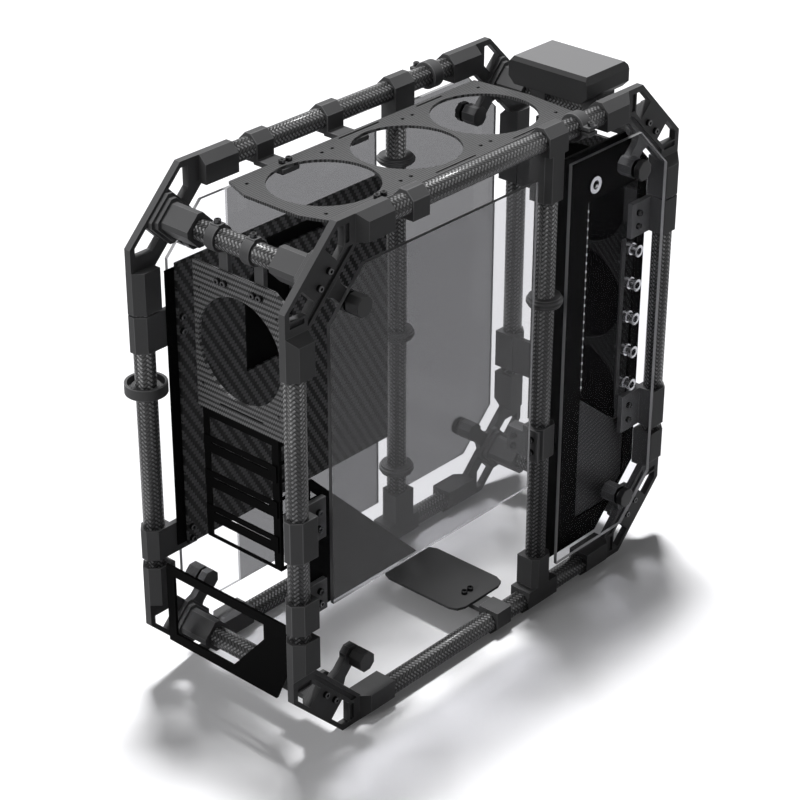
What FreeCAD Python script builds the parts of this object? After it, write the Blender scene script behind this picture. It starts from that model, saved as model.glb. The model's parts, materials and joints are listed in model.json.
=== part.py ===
import FreeCAD, Part
import os
import Sketcher
from types import SimpleNamespace
from FreeCAD import Vector

# Open-frame computer case: carbon tubes held by eight corner brackets and by tube clamps.
# Millimetres, +Z up, origin under the middle of the whole outline, on the surface it stands on.
# -X is the rear, +X the front, -Y the near side with the two glass panes.

doc = FreeCAD.newDocument("ComputerCase")
sheet = doc.addObject("Spreadsheet::Sheet", "Sizes")

DIMENSIONS = (
    ("case_length", 603.0, "rear faces to front faces of the brackets"),
    ("case_height", 570.0, "bottom faces to top faces of the brackets"),
    ("case_width", 214.4, "outer face to outer face of the bracket webs"),
    ("corner_cut", 70.0, "size of the 45 degree corner of a bracket"),
    ("tube_size", 22.0, "outer diameter of every tube"),
    ("tube_wall", 2.0, "wall of every tube"),
    ("web_wall", 8.0, "thickness of a bracket web"),
    ("socket_out", 9.0, "how far a socket stands outside the web"),
    ("socket_wide", 30.0, "width of a socket along the case face"),
    ("socket_in", 17.0, "depth of a socket inward from the outer web face"),
    ("socket_start", 95.0, "where the sloped end of a socket begins"),
    ("socket_end", 140.0, "open end of a socket, from the case corner"),
    ("socket_stop", 106.0, "where a tube ends inside its socket"),
    ("window_rim", 6.6, "rim beside a bracket window"),
    ("cut_rim", 5.0, "rim between a window and the 45 degree edge"),
    ("boss_half", 22.0, "half width of the diagonal boss of a bracket"),
    ("window_end", 79.5, "far end of a window, from the case corner"),
    ("rib_start", 76.7, "start of the inner rib, along the diagonal"),
    ("rib_end", 90.5, "inner edge of the web, along the diagonal"),
    ("step_deep", 3.0, "depth of the steps in the web"),
    ("step_wide", 5.5, "width of the steps in the web"),
    ("step_rim", 4.0, "rim at the inner end of a step"),
    ("step_gap", 2.0, "gap between a window and a step"),
    ("cross_axis", 52.0, "axis of a cross tube from the two outer faces"),
    ("cross_socket", 30.0, "width of the square cross tube socket"),
    ("cross_corner", 4.5, "chamfer of the cross tube socket"),
    ("cross_end", 53.0, "open end of a cross tube socket, from the web face"),
    ("flare_long", 4.5, "length of one step where a cross tube socket widens"),
    ("flare_wide", 3.0, "how much wider one step is than the next"),
    ("cross_stop", 14.0, "where a cross tube ends, from the web face"),
    ("mid_back", 219.0, "axis of the middle posts, from the front"),
    ("tee_half", 24.5, "half length of a tee clamp along the tube"),
    ("tee_leg", 66.0, "height of a bottom tee clamp"),
    ("tee_drop", 81.0, "height of the near top tee clamp"),
    ("far_drop", 55.0, "height of the far top tee clamp"),
    ("leg_half", 15.0, "half width of a tee leg"),
    ("leg_corner", 6.0, "chamfer on the outer edges of a tee leg"),
    ("plate_wall", 3.0, "carbon plates"),
    ("steel_wall", 1.5, "folded slot bracket and its covers"),
    ("fan_pitch", 120.0, "fan to fan"),
    ("fan_hole", 113.4, "opening for one fan"),
    ("fan_screw", 105.0, "fan screw spacing"),
    ("screw_hole", 4.5, "fan screw hole"),
    ("top_drop", 23.0, "upper face of the top plate, below the top"),
    ("plate_slit", 2.0, "width of a slit in a carbon plate"),
    ("slit_edge", 5.0, "middle of a slit, from the edge of the plate"),
    ("plate_taper", 6.5, "how far the sides of the top plate end before its front"),
    ("plate_nose", 34.0, "length of the sloped corners of the top plate"),
    ("top_back", 98.5, "middle of the top plate, behind the middle posts"),
    ("top_half", 193.0, "half length of the top plate"),
    ("top_side", 70.0, "half width of the top plate"),
    ("slot_pitch", 20.32, "expansion slot spacing"),
    ("cover_tall", 18.4, "width of one slot cover"),
    ("cover_gap", 1.0, "gap at the ends of a slot cover"),
    ("slot_drop", 391.0, "lowest slot, below the top"),
    ("rear_plane", 54.0, "outer face of the rear plate, from the rear"),
    ("rear_tall", 160.0, "height of the rear plate"),
    ("rear_drop", 88.0, "upper edge of the rear plate, below the top"),
    ("rear_side", 36.4, "far edge of the rear plate, from the far web"),
    ("rear_wide", 124.0, "width of the rear plate"),
    ("rear_fan_inset", 62.4, "rear fan axis, from the near edge of the rear plate"),
    ("rear_fan_drop", 168.4, "rear fan axis, below the top"),
    ("bracket_inset", 17.0, "near edge of the slot bracket, from the near edge of the rear plate"),
    ("bracket_rim", 8.0, "rim at the ends of the slots"),
    ("flange_wide", 20.0, "depth of the folded flange"),
    ("flange_rung", 3.6, "width of a rung of the flange"),
    ("flange_rail", 4.0, "width of the two rails of the flange"),
    ("tray_rear", 46.0, "rear edge of the tray"),
    ("tray_seam", 34.0, "front edge of the tray, behind the middle posts"),
    ("tray_low", 155.0, "lower edge of the tray"),
    ("tray_drop", 95.0, "upper edge of the tray, below the top"),
    ("tray_hole", 91.0, "rear edge of the large opening, from the rear edge of the tray"),
    ("hole_wide", 67.0, "width of the large opening"),
    ("hole_cut", 15.0, "cut corners of the large opening"),
    ("hole_low", 166.0, "lower edge of the large opening, from the lower edge of the tray"),
    ("hole_drop", 45.0, "upper edge of the large opening, below the upper edge of the tray"),
    ("cable_slot", 124.0, "start of the cable slot, from the rear edge of the tray"),
    ("cable_wide", 84.0, "length of the cable slot"),
    ("cable_high", 16.0, "height of the cable slot"),
    ("backing_rear", 34.0, "rear edge of the black sheet behind the tray"),
    ("backing_front", 38.0, "front edge of that sheet, behind the middle posts"),
    ("backing_low", 158.0, "lower edge of that sheet"),
    ("backing_drop", 100.0, "upper edge of that sheet, below the top"),
    ("psu_plane", 12.0, "outer face of the power supply plate"),
    ("psu_low", 54.0, "lower edge of the power supply plate"),
    ("psu_knee", 100.0, "upper end of its sloped near edge"),
    ("psu_slope", 19.0, "how far that edge slopes inward"),
    ("psu_rim", 11.0, "rim of its opening"),
    ("psu_web", 35.0, "rim of its opening on the near side"),
    ("psu_brace", 46.0, "width of the sloped corner of its opening"),
    ("psu_brace_high", 118.0, "upper end of that sloped corner"),
    ("psu_high", 147.0, "upper edge of the power supply plate"),
    ("psu_side", 22.4, "far edge of the power supply plate, from the far web"),
    ("glass_wall", 4.0, "thickness of the glass"),
    ("glass_cut", 48.0, "45 degree corner of a glass pane"),
    ("glass_drop", 52.0, "upper edge of the rear panes, below the top"),
    ("glass_rear", 55.0, "rear edge of the rear panes"),
    ("glass_back", 26.0, "front edge of the rear panes, behind the middle posts"),
    ("glass_low", 164.0, "lower edge of the near rear pane"),
    ("far_low", 57.0, "lower edge of the far rear pane"),
    ("glass_hole", 10.6, "hole in the glass for a holder screw"),
    ("pane_ahead", 17.0, "rear edge of the front panes, in front of the middle posts"),
    ("pane_inset", 37.0, "front edge of the front panes, from the front"),
    ("pane_low", 50.0, "lower edge of the front panes"),
    ("pane_drop", 45.0, "upper edge of the front panes, below the top"),
    ("holder_spot", 86.0, "glass holder axis from the two outer faces"),
    ("holder_size", 21.0, "width over the flats of a glass holder"),
    ("holder_corner", 6.0, "chamfer of a glass holder"),
    ("stem_size", 10.0, "diameter of a holder screw"),
    ("knob_out", 20.0, "outer face of a glass knob, outside the web"),
    ("neck_half", 8.0, "half width of the holder neck"),
    ("neck_wide", 12.0, "half width of the neck at the bracket"),
    ("neck_taper", 8.0, "length of its taper"),
    ("fan_inset", 23.0, "rear face of the front fan plate, from the front"),
    ("screen_wall", 1.5, "thickness of the screen in front of the fan plate"),
    ("fan_level", 282.0, "height of the middle front fan"),
    ("fan_half", 192.0, "half height of the front fan plate"),
    ("fan_side", 70.0, "half width of the front fan plate"),
    ("block_wall", 15.0, "thickness of the clear distribution block"),
    ("block_inset", 37.0, "front edge of the block, from the front"),
    ("block_long", 104.0, "length of the block"),
    ("block_slope", 60.0, "height of its sloped lower edge"),
    ("block_level", 29.0, "length of its level lower edge"),
    ("block_low", 166.0, "lower edge of the block"),
    ("block_drop", 108.0, "upper edge of the block, below the top"),
    ("side_inset", 30.0, "front edge of the black side panel, from the front"),
    ("side_overlap", 6.0, "rear edge of the black side panel, in front of the middle posts"),
    ("side_low", 34.0, "lower edge of the side panel"),
    ("side_drop", 56.0, "upper edge of the side panel, below the top"),
    ("side_cut_low", 65.0, "lower cut corner of the side panel"),
    ("side_cut_high", 43.0, "upper cut corner of the side panel"),
    ("view_rear", 133.0, "rear edge of the window in the side panel, from the front"),
    ("view_front", 43.0, "front edge of that window, from the front"),
    ("view_low", 64.0, "lower edge of that window"),
    ("view_cut", 22.0, "cut corner of that window"),
    ("view_drop", 118.0, "upper edge of that window, below the top"),
    ("low_plate_low", 50.0, "lower edge of the carbon plate under the block"),
    ("low_plate_cut", 53.0, "cut corner of that plate"),
    ("low_plate_gap", 1.5, "gap between that plate and the block"),
    ("light_wide", 4.0, "width of the light strip on the block"),
    ("light_wall", 1.0, "thickness of the light strip"),
    ("light_pitch", 10.0, "spacing of the lights on the strip"),
    ("light_size", 2.6, "size of one light"),
    ("port_size", 19.0, "outer diameter of the round port"),
    ("port_bore", 10.0, "bore of the round port"),
    ("port_spot", 125.0, "axis of the port, from the front"),
    ("port_drop", 99.0, "axis of the port, below the top"),
    ("rail_spot", 64.0, "middle of the upright rail on the block, from the front"),
    ("rail_wide", 6.0, "width of that rail"),
    ("rail_wall", 2.0, "thickness of that rail"),
    ("rail_gap", 2.0, "gap between the ends of that rail and the clamps"),
    ("fitting_size", 14.0, "outer diameter of a fitting"),
    ("fitting_bore", 8.0, "bore of a fitting"),
    ("fitting_neck", 11.0, "diameter of the neck of a fitting"),
    ("fitting_long", 15.0, "length of a fitting"),
    ("fitting_spot", 54.0, "axis of the fittings, from the front"),
    ("fitting_edge", 15.0, "first and last fitting, from the clamps"),
    ("box_tall", 30.0, "height of the control box"),
    ("box_wall", 3.0, "walls of the control box"),
    ("box_back", 97.0, "rear face of the control box, from the front"),
    ("box_inset", 24.0, "front face of the control box, from the front"),
    ("box_near", 52.0, "near end of the control box"),
    ("box_side", 56.4, "far end of the control box, from the far web"),
    ("box_bevel", 8.0, "sloped ends of the control box"),
    ("box_edge", 4.0, "bevel along the upper edges of the control box"),
    ("button_size", 16.0, "diameter of the power button"),
    ("button_travel", 1.5, "press of the power button"),
    ("button_gap", 0.3, "running gap round the button"),
    ("base_level", 30.0, "upper face of the bottom plate"),
    ("base_back", 103.5, "rear edge of the bottom plate, behind the middle posts"),
    ("base_seam", 22.0, "front edge of the bottom plate, behind the middle posts"),
    ("base_near", 26.5, "near edge of the bottom plate"),
    ("base_far", 139.5, "far edge of the bottom plate"),
    ("base_round", 13.0, "corner radius of the bottom plate"),
    ("ring_size", 36.0, "outer diameter of a small ring"),
    ("ring_flare", 4.0, "how much wider the middle of a small ring is"),
    ("ring_tall", 11.0, "length of a small ring"),
    ("ring_level", 370.0, "height of the ring on the near middle post"),
    ("bead_size", 42.0, "outer diameter of the bead ring on the far middle post"),
    ("bead_flare", 4.0, "how much wider the middle of the bead ring is"),
    ("bead_tall", 8.0, "length of the bead ring"),
    ("bead_drop", 99.0, "lower face of the bead ring, below the top"),
    ("clip_size", 30.0, "outer diameter of an open clip"),
    ("clip_long", 14.0, "length of an open clip"),
    ("clip_ear", 18.0, "reach of the ears of a clip outside the web"),
    ("clip_slit", 2.0, "slit between the ears"),
    ("ear_wall", 4.0, "thickness of one ear"),
    ("clip_spot", 36.0, "near top clip, in front of the middle posts"),
    ("ring_middle", 262.0, "height of the middle ring on the far middle post"),
    ("ring_low", 90.0, "height of the low ring on the far middle post"),
    ("cable_ring", 44.0, "outer diameter of the cable ring"),
    ("cable_hub", 30.0, "hub diameter of the cable ring"),
    ("cable_lip", 3.0, "wall of the cable ring"),
    ("cable_floor", 4.0, "floor of the cable ring"),
    ("cable_tall", 12.0, "length of the cable ring"),
    ("cable_drop", 48.0, "cable ring on the far rear post, below the upper clamp"),
    ("far_clip", 46.0, "far top clip, in front of the middle posts"),
    ("foot_wall", 6.0, "thickness of a clamp foot"),
    ("foot_long", 32.0, "length of a clamp foot beyond the clamp"),
    ("foot_edge", 11.0, "foot screws, from the end of a foot"),
    ("low_clamp", 150.0, "height of the lower rear clamps"),
    ("low_tall", 35.0, "length of the lower rear clamps"),
    ("mid_clamp", 233.0, "height of the upper near rear clamp"),
    ("mid_tall", 46.0, "length of the upper near rear clamp"),
    ("pane_clamp", 191.0, "height of the clamp on the near middle post"),
    ("pane_tall", 38.0, "length of the clamp on the near middle post"),
    ("pad_wall", 3.0, "thickness of the pad on its rear face"),
    ("pad_half", 9.0, "half width of that pad"),
    ("inner_block", 38.0, "reach of its inner block from the web face"),
    ("inner_tall", 30.0, "height of its inner block"),
    ("front_clamp", 148.0, "height of the lower front clamps"),
    ("front_tall", 46.0, "length of the lower front clamps"),
    ("high_clamp", 182.0, "lower end of the upper clamps, below the top"),
    ("high_tall", 40.0, "length of the upper clamps"),
    ("collar_long", 24.0, "length of a top tube collar"),
    ("collar_rear", 25.0, "rear collars, from the ends of the bracket sockets"),
    ("collar_middle", 118.0, "middle collar, behind the middle posts"),
    ("collar_foot", 52.0, "inner end of a collar foot, from the web face"),
    ("collar_edge", 8.0, "foot screws, from its inner end"),
    ("strap_wide", 12.0, "width of a rear plate strap"),
    ("strap_size", 28.0, "outer diameter of a strap"),
    ("strap_boss", 10.0, "width of the boss on a strap"),
    ("boss_rise", 1.0, "how far the boss stands above the strap"),
    ("strap_screws", 9.0, "spacing of the two screws of a strap"),
    ("strap_near", 36.0, "near strap, from the near edge of the rear plate"),
    ("strap_far", 84.0, "far strap, from the near edge of the rear plate"),
    ("strap_drop", 108.0, "lower end of the straps, below the top"),
    ("mount_size", 32.0, "outer diameter of a control box saddle"),
    ("mount_wide", 18.0, "width of a control box saddle"),
    ("mount_inset", 18.0, "middle of a saddle, from the end of the box"),
    ("base_block", 79.0, "bottom plate clamp, behind the middle posts"),
    ("gusset_high", 300.0, "top corner of the near lower plate"),
    ("gusset_gap", 11.0, "its rear edge, from the post clamps"),
    ("gusset_slope", 50.0, "rear end of its sloped edge, from the rear"),
    ("bolt_row", 3.4, "screw row of a bracket, outside the start of its rib"),
    ("bolt_spread", 18.6, "spacing of the two screws of a bracket"),
    ("bolt_head", 7.0, "diameter of a socket screw head"),
    ("bolt_tall", 4.0, "height of a socket screw head"),
    ("bolt_key", 3.0, "width of the hex key opening"),
)
for row, (alias, size, note) in enumerate(DIMENSIONS, 1):
    sheet.set("A%d" % row, alias)
    sheet.set("B%d" % row, str(size))
    sheet.setAlias("B%d" % row, alias)
    sheet.set("C%d" % row, note)
doc.recompute()

DIAGONAL = 0.5 ** 0.5


def number(size):
    return size.value if isinstance(size, Size) else float(size)


def words(size):
    return size.text if isinstance(size, Size) else "(%r)" % float(size)


class Size:
    """A length that carries both its number and the expression that the document keeps."""

    def __init__(self, value, text):
        self.value = float(value)
        self.text = text

    def __add__(self, other):
        return Size(number(self) + number(other), "(%s + %s)" % (words(self), words(other)))

    def __radd__(self, other):
        return self + other

    def __sub__(self, other):
        return Size(number(self) - number(other), "(%s - %s)" % (words(self), words(other)))

    def __rsub__(self, other):
        return Size(number(other) - number(self), "(%s - %s)" % (words(other), words(self)))

    def __mul__(self, other):
        return Size(number(self) * number(other), "(%s * %s)" % (words(self), words(other)))

    def __rmul__(self, other):
        return self * other

    def __truediv__(self, other):
        return Size(number(self) / number(other), "(%s / %s)" % (words(self), words(other)))

    def __neg__(self):
        return 0 - self


s = SimpleNamespace(**{alias: Size(sheet.get(alias), "Sizes." + alias) for alias, size, note in DIMENSIONS})
half_length = s.case_length / 2
half_width = s.case_width / 2
tube_axis = s.socket_wide / 2
tube_side = s.web_wall / 2
tube_radius = s.tube_size / 2
# The cable ring reaches past the rear face, so the middle of the cage lies a little in front of the
# middle of the whole outline. The glass knobs stand out equally far on both sides.
cage_x = (s.cable_ring / 2 - tube_axis) / 2
cage_y = 0.0
# Places that follow from the middle posts and from the top.
mid_post = s.case_length - s.mid_back
top_level = s.case_height - s.top_drop
plate_under = top_level - s.plate_wall
top_middle = mid_post - s.top_back
rear_high = s.case_height - s.rear_drop
rear_low = rear_high - s.rear_tall
rear_inner = s.rear_plane + s.plate_wall
slot_low = s.case_height - s.slot_drop
tray_front = mid_post - s.tray_seam
glass_high = s.case_height - s.glass_drop
glass_seam = mid_post - s.glass_back
pane_start = mid_post + s.pane_ahead
pane_front = s.case_length - s.pane_inset
pane_high = s.case_height - s.pane_drop
fan_plane = s.case_length - s.fan_inset
box_low = s.case_height - s.box_tall
box_rear = s.case_length - s.box_back
box_front = s.case_length - s.box_inset
base_rear = mid_post - s.base_back
base_front = mid_post - s.base_seam
base_block = mid_post - s.base_block
rear_far = s.case_width - s.rear_side
rear_near = rear_far - s.rear_wide
rear_fan_across = rear_near + s.rear_fan_inset
psu_far = s.case_width - s.psu_side
box_far = s.case_width - s.box_side
tray_high = s.case_height - s.tray_drop
high_clamp = s.case_height - s.high_clamp
cable_level = high_clamp - s.cable_drop
clamp_top = s.front_clamp + s.front_tall


# Distances are taken from the face of the case that a piece belongs to.
def rear(distance):
    return distance - half_length + cage_x


def front(distance):
    return half_length + cage_x - distance


def near(distance):
    return distance - half_width + cage_y


def far(distance):
    return half_width + cage_y - distance


def low(distance):
    return distance + 0


def high(distance):
    return s.case_height - distance


NODES = {}
CUTS = []


def keep(name, item):
    item.Label = name
    NODES[name] = item
    return item


def new_body(name):
    return doc.addObject("PartDesign::Body", "Body_" + name)


def new_sketch(body, plane, level, outlines, circles):
    """A sketch on one origin plane of the body, every point tied to the sheet."""
    sketch = body.newObject("Sketcher::SketchObject", "Sketch")
    origin = [item for item in body.Origin.OriginFeatures if item.Role == plane + "_Plane"][0]
    sketch.AttachmentSupport = (origin, [""])
    sketch.MapMode = "FlatFace"
    sketch.setExpression("AttachmentOffset.Base.z", words(level))
    lines = []
    rules = []
    bound = []
    for outline in outlines:
        first = len(lines)
        count = len(outline)
        spots = [Vector(number(a), number(b), 0) for a, b in outline]
        for index in range(count):
            lines.append(Part.LineSegment(spots[index], spots[(index + 1) % count]))
            rules.append(Sketcher.Constraint("Coincident", first + index, 2, first + (index + 1) % count, 1))
            bound.append(None)
        for index, (a, b) in enumerate(outline):
            rules.append(Sketcher.Constraint("DistanceX", -1, 1, first + index, 1, number(a)))
            rules.append(Sketcher.Constraint("DistanceY", -1, 1, first + index, 1, number(b)))
            bound.extend((a, b))
    for a, b, size in circles:
        lines.append(Part.Circle(Vector(number(a), number(b), 0), Vector(0, 0, 1), number(size) / 2))
        spot = len(lines) - 1
        rules.append(Sketcher.Constraint("DistanceX", -1, 1, spot, 3, number(a)))
        rules.append(Sketcher.Constraint("DistanceY", -1, 1, spot, 3, number(b)))
        rules.append(Sketcher.Constraint("Diameter", spot, number(size)))
        bound.extend((a, b, size))
    sketch.addGeometry(lines, False)
    sketch.addConstraint(rules)
    for index, size in enumerate(bound):
        if isinstance(size, Size):
            sketch.setExpression("Constraints[%d]" % index, words(size))
    return sketch


def pad(body, plane, start, end, *outlines, circles=()):
    """Material between two levels along the normal of an origin plane."""
    level = -end if plane == "XZ" else start
    sketch = new_sketch(body, plane, level, outlines, circles)
    feature = body.newObject("PartDesign::Pad", "Pad")
    feature.Profile = sketch
    feature.Length = number(end) - number(start)
    feature.setExpression("Length", words(end - start))
    body.Tip = feature
    return feature


def cut(body, plane, start, end, *outlines, circles=()):
    """A pocket between two levels along the normal of an origin plane."""
    level = -start if plane == "XZ" else end
    sketch = new_sketch(body, plane, level, outlines, circles)
    feature = body.newObject("PartDesign::Pocket", "Pocket")
    feature.Profile = sketch
    feature.Length = number(end) - number(start)
    feature.setExpression("Length", words(end - start))
    body.Tip = feature
    CUTS.append(feature)
    return feature


def rectangle(a_start, a_end, b_start, b_end):
    return [(a_start, b_start), (a_end, b_start), (a_end, b_end), (a_start, b_end)]


def octagon(a, b, half, corner, turned=False):
    """A square with chamfered corners, level or turned by 45 degrees."""
    inner = half - corner
    spots = ((half, inner), (inner, half), (-inner, half), (-half, inner),
             (-half, -inner), (-inner, -half), (inner, -half), (half, -inner))
    if turned:
        spots = [((p - q) * DIAGONAL, (p + q) * DIAGONAL) for p, q in spots]
    return [(a + p, b + q) for p, q in spots]


def section(across, depth, swap=False):
    """The D-shaped section of sockets and clamps, chamfered towards the case edge."""
    lip = s.socket_out
    spots = ((0, 0), (lip, -lip), (s.socket_wide, -lip),
             (s.socket_wide, s.socket_in), (lip, s.socket_in), (0, s.socket_in - lip))
    points = [(across(a), depth(b)) for a, b in spots]
    return [(b, a) for a, b in points] if swap else points


def leg_section(across, depth, swap=False):
    """The section round a middle post or along a tube away from the corners."""
    half = s.leg_half
    lip = s.leg_corner
    out = -s.socket_out
    spots = ((-half, out + lip), (-half + lip, out), (half - lip, out), (half, out + lip),
             (half, s.socket_in), (-half, s.socket_in))
    points = [(across(a), depth(b)) for a, b in spots]
    return [(b, a) for a, b in points] if swap else points


def mirror(source, label, plane):
    """The mirror image of a piece in one of the three middle planes of the cage."""
    normal, field, place = plane
    item = doc.addObject("Part::Mirroring", label)
    item.Source = source
    item.Normal = normal
    item.setExpression("Base." + field, words(place))
    return item


def mirrored(source, name, plane):
    return keep(name, mirror(source, "Mirror_" + name, plane))


def group(name, items):
    item = doc.addObject("Part::Compound", "Group_" + name)
    item.Links = items
    return keep(name, item)


LENGTHWISE = (Vector(1, 0, 0), "x", cage_x)
CROSSWISE = (Vector(0, 1, 0), "y", cage_y)
UPRIGHT = (Vector(0, 0, 1), "z", s.case_height / 2)

# One corner bracket, at the near rear bottom corner. The others are its mirror images.
bracket = new_body("bracket")
web_end = s.rib_end / DIAGONAL
pad(bracket, "XZ", near(0), near(s.web_wall), [
    (rear(s.corner_cut), low(0)), (rear(s.socket_end), low(0)), (rear(s.socket_end), low(s.socket_wide)),
    (rear(web_end - s.socket_wide), low(s.socket_wide)), (rear(s.socket_wide), web_end - s.socket_wide),
    (rear(s.socket_wide), low(s.socket_end)), (rear(0), low(s.socket_end)), (rear(0), low(s.corner_cut))])
pad(bracket, "XY", low(s.socket_start), low(s.socket_end), section(rear, near))
pad(bracket, "YZ", rear(s.socket_start), rear(s.socket_end), section(low, near, True))
# The 45 degree slope where each socket rises from the web.
slope_end = s.socket_start + s.socket_out
cut(bracket, "YZ", rear(0), rear(s.socket_wide),
    [(near(0), low(s.socket_start)), (near(-s.socket_out), low(slope_end)),
     (near(-s.socket_out), low(s.socket_start))])
cut(bracket, "XY", low(0), low(s.socket_wide),
    [(rear(s.socket_start), near(0)), (rear(slope_end), near(-s.socket_out)),
     (rear(s.socket_start), near(-s.socket_out))])
# Two windows beside the diagonal boss.
rim_line = s.corner_cut + s.cut_rim / DIAGONAL
rib_line = s.rib_start / DIAGONAL
boss_line = s.boss_half / DIAGONAL
window = [(s.window_rim, rim_line - s.window_rim), ((rim_line - boss_line) / 2, (rim_line + boss_line) / 2),
          ((rib_line - boss_line) / 2, (rib_line + boss_line) / 2), (rib_line - s.window_end, s.window_end),
          (s.window_rim, s.window_end)]
cut(bracket, "XZ", near(0), near(s.web_wall),
    [(rear(a), low(b)) for a, b in window], [(rear(b), low(a)) for a, b in window])
# Shallow steps: one behind each window and one in the middle of the inner rib.
lip_start = s.window_end + s.step_gap
lip_end = lip_start + s.step_wide
rib_middle = (s.rib_start + s.rib_end) / 2
step_start = (rib_middle - s.step_wide / 2) / DIAGONAL
step_end = (rib_middle + s.step_wide / 2) / DIAGONAL
cut(bracket, "XZ", near(0), near(s.step_deep),
    rectangle(rear(s.window_rim), rear(s.socket_wide - s.step_rim), low(lip_start), low(lip_end)),
    rectangle(rear(lip_start), rear(lip_end), low(s.window_rim), low(s.socket_wide - s.step_rim)),
    [(rear(step_start - s.socket_wide), low(s.socket_wide)),
     (rear(step_end - s.socket_wide), low(s.socket_wide)),
     (rear(s.socket_wide), low(step_end - s.socket_wide)),
     (rear(s.socket_wide), low(step_start - s.socket_wide))])
# The turned square socket for the cross tube, then the three tube bores.
pad(bracket, "XZ", near(s.web_wall), near(s.cross_end),
    octagon(rear(s.cross_axis), low(s.cross_axis), s.cross_socket / 2, s.cross_corner, True))
for step in (1, 2):
    pad(bracket, "XZ", near(s.web_wall), near(s.web_wall + s.flare_long * step),
        octagon(rear(s.cross_axis), low(s.cross_axis), s.cross_socket / 2 + s.flare_wide * (3 - step),
         s.cross_corner, True))
cut(bracket, "XZ", near(s.cross_stop), near(s.cross_end),
    circles=[(rear(s.cross_axis), low(s.cross_axis), s.tube_size)])
cut(bracket, "XY", low(s.socket_stop), low(s.socket_end),
    circles=[(rear(tube_axis), near(tube_side), s.tube_size)])
cut(bracket, "YZ", rear(s.socket_stop), rear(s.socket_end),
    circles=[(near(tube_side), low(tube_axis), s.tube_size)])
keep("bracket_near_rear_bottom", bracket)
mirrored(bracket, "bracket_near_rear_top", UPRIGHT)
for level in ("bottom", "top"):
    mirrored(NODES["bracket_near_rear_" + level], "bracket_near_front_" + level, LENGTHWISE)
for end in ("rear", "front"):
    for level in ("bottom", "top"):
        mirrored(NODES["bracket_near_%s_%s" % (end, level)], "bracket_far_%s_%s" % (end, level), CROSSWISE)


# The carbon tubes, each seated in its sockets.
def tube(label, plane, start, end, a, b):
    body = new_body(label)
    pad(body, plane, start, end, circles=[(a, b, s.tube_size), (a, b, s.tube_size - s.tube_wall * 2)])
    return body


tubes = {"long_tubes": [], "corner_posts": [], "middle_posts": [], "cross_tubes": []}
middle_stop = tube_axis + tube_radius + 1
for side, depth in (("near", near), ("far", far)):
    for level, up in (("bottom", low), ("top", high)):
        tubes["long_tubes"].append(tube("tube_%s_%s" % (side, level), "YZ", rear(s.socket_stop),
                                        front(s.socket_stop), depth(tube_side), up(tube_axis)))
    for end, across in (("rear", rear), ("front", front)):
        tubes["corner_posts"].append(tube("post_%s_%s" % (side, end), "XY", low(s.socket_stop),
                                          high(s.socket_stop), across(tube_axis), depth(tube_side)))
    tubes["middle_posts"].append(tube("post_%s_middle" % side, "XY", low(middle_stop), high(middle_stop),
                                      rear(mid_post), depth(tube_side)))
for end, across in (("rear", rear), ("front", front)):
    for level, up in (("bottom", low), ("top", high)):
        tubes["cross_tubes"].append(tube("cross_%s_%s" % (end, level), "XZ", near(s.cross_stop),
                                         far(s.cross_stop), across(s.cross_axis), up(s.cross_axis)))
for name, items in tubes.items():
    group(name, items)


# Tee clamps where the middle posts meet the long tubes.
def tee(name, up, depth, half, leg, below):
    body = new_body(name)
    start, end = (low(0), low(leg)) if below else (high(leg), high(0))
    post = (low(middle_stop), end) if below else (start, high(middle_stop))
    pad(body, "YZ", rear(mid_post - half), rear(mid_post + half), section(up, depth, True))
    leg_start, leg_end = (low(s.socket_wide), end) if below else (start, high(s.socket_wide))
    pad(body, "XY", leg_start, leg_end, leg_section(lambda a: rear(mid_post + a), depth))
    cut(body, "YZ", rear(mid_post - half), rear(mid_post + half),
        circles=[(depth(tube_side), up(tube_axis), s.tube_size)])
    cut(body, "XY", post[0], post[1], circles=[(rear(mid_post), depth(tube_side), s.tube_size)])
    return keep(name, body)


tee("tee_near_bottom", low, near, s.tee_half, s.tee_leg, True)
tee("tee_far_bottom", low, far, s.tee_half, s.tee_leg, True)
tee("tee_near_top", high, near, s.leg_half, s.tee_drop, False)
tee("tee_far_top", high, far, s.leg_half, s.far_drop, False)


# Clamps round one tube: the section, its bore, and any feet as further pads.
def post_clamp(name, start, end, across, depth, centre=None):
    body = new_body(name)
    if centre is None:
        outline, spot = section(across, depth), across(tube_axis)
    else:
        outline, spot = leg_section(lambda a: rear(centre + a), depth), rear(centre)
    pad(body, "XY", low(start), low(end), outline, circles=[(spot, depth(tube_side), s.tube_size)])
    return keep(name, body)


def tube_clamp(name, start, end, up, depth):
    body = new_body(name)
    pad(body, "YZ", rear(start), rear(end), section(up, depth, True),
        circles=[(depth(tube_side), up(tube_axis), s.tube_size)])
    return body


def sides(depth, start, end):
    """Two depths in rising order, whichever side they belong to."""
    first, last = depth(start), depth(end)
    return (first, last) if number(first) < number(last) else (last, first)


def foot_z(body, depth, across_start, across_end, up_start, up_end):
    """A flat foot beside a post clamp, level with the inner face of its section."""
    first, last = sides(depth, s.socket_in - s.foot_wall, s.socket_in)
    across = sorted((across_start, across_end), key=number)
    pad(body, "XZ", first, last, rectangle(across[0], across[1], up_start, up_end))


# Near rear post: two clamps whose feet carry the near lower plate.
foot_start = s.socket_wide
foot_end = s.socket_wide + s.foot_long
clamp = post_clamp("clamp_near_rear_lower", s.low_clamp, s.low_clamp + s.low_tall, rear, near)
foot_z(clamp, near, rear(foot_start), rear(foot_end), low(s.low_clamp), low(s.low_clamp + s.low_tall))
clamp = post_clamp("clamp_near_rear_upper", s.mid_clamp, s.mid_clamp + s.mid_tall, rear, near)
foot_z(clamp, near, rear(foot_start), rear(foot_end), low(s.mid_clamp), low(s.mid_clamp + s.mid_tall))

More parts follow.
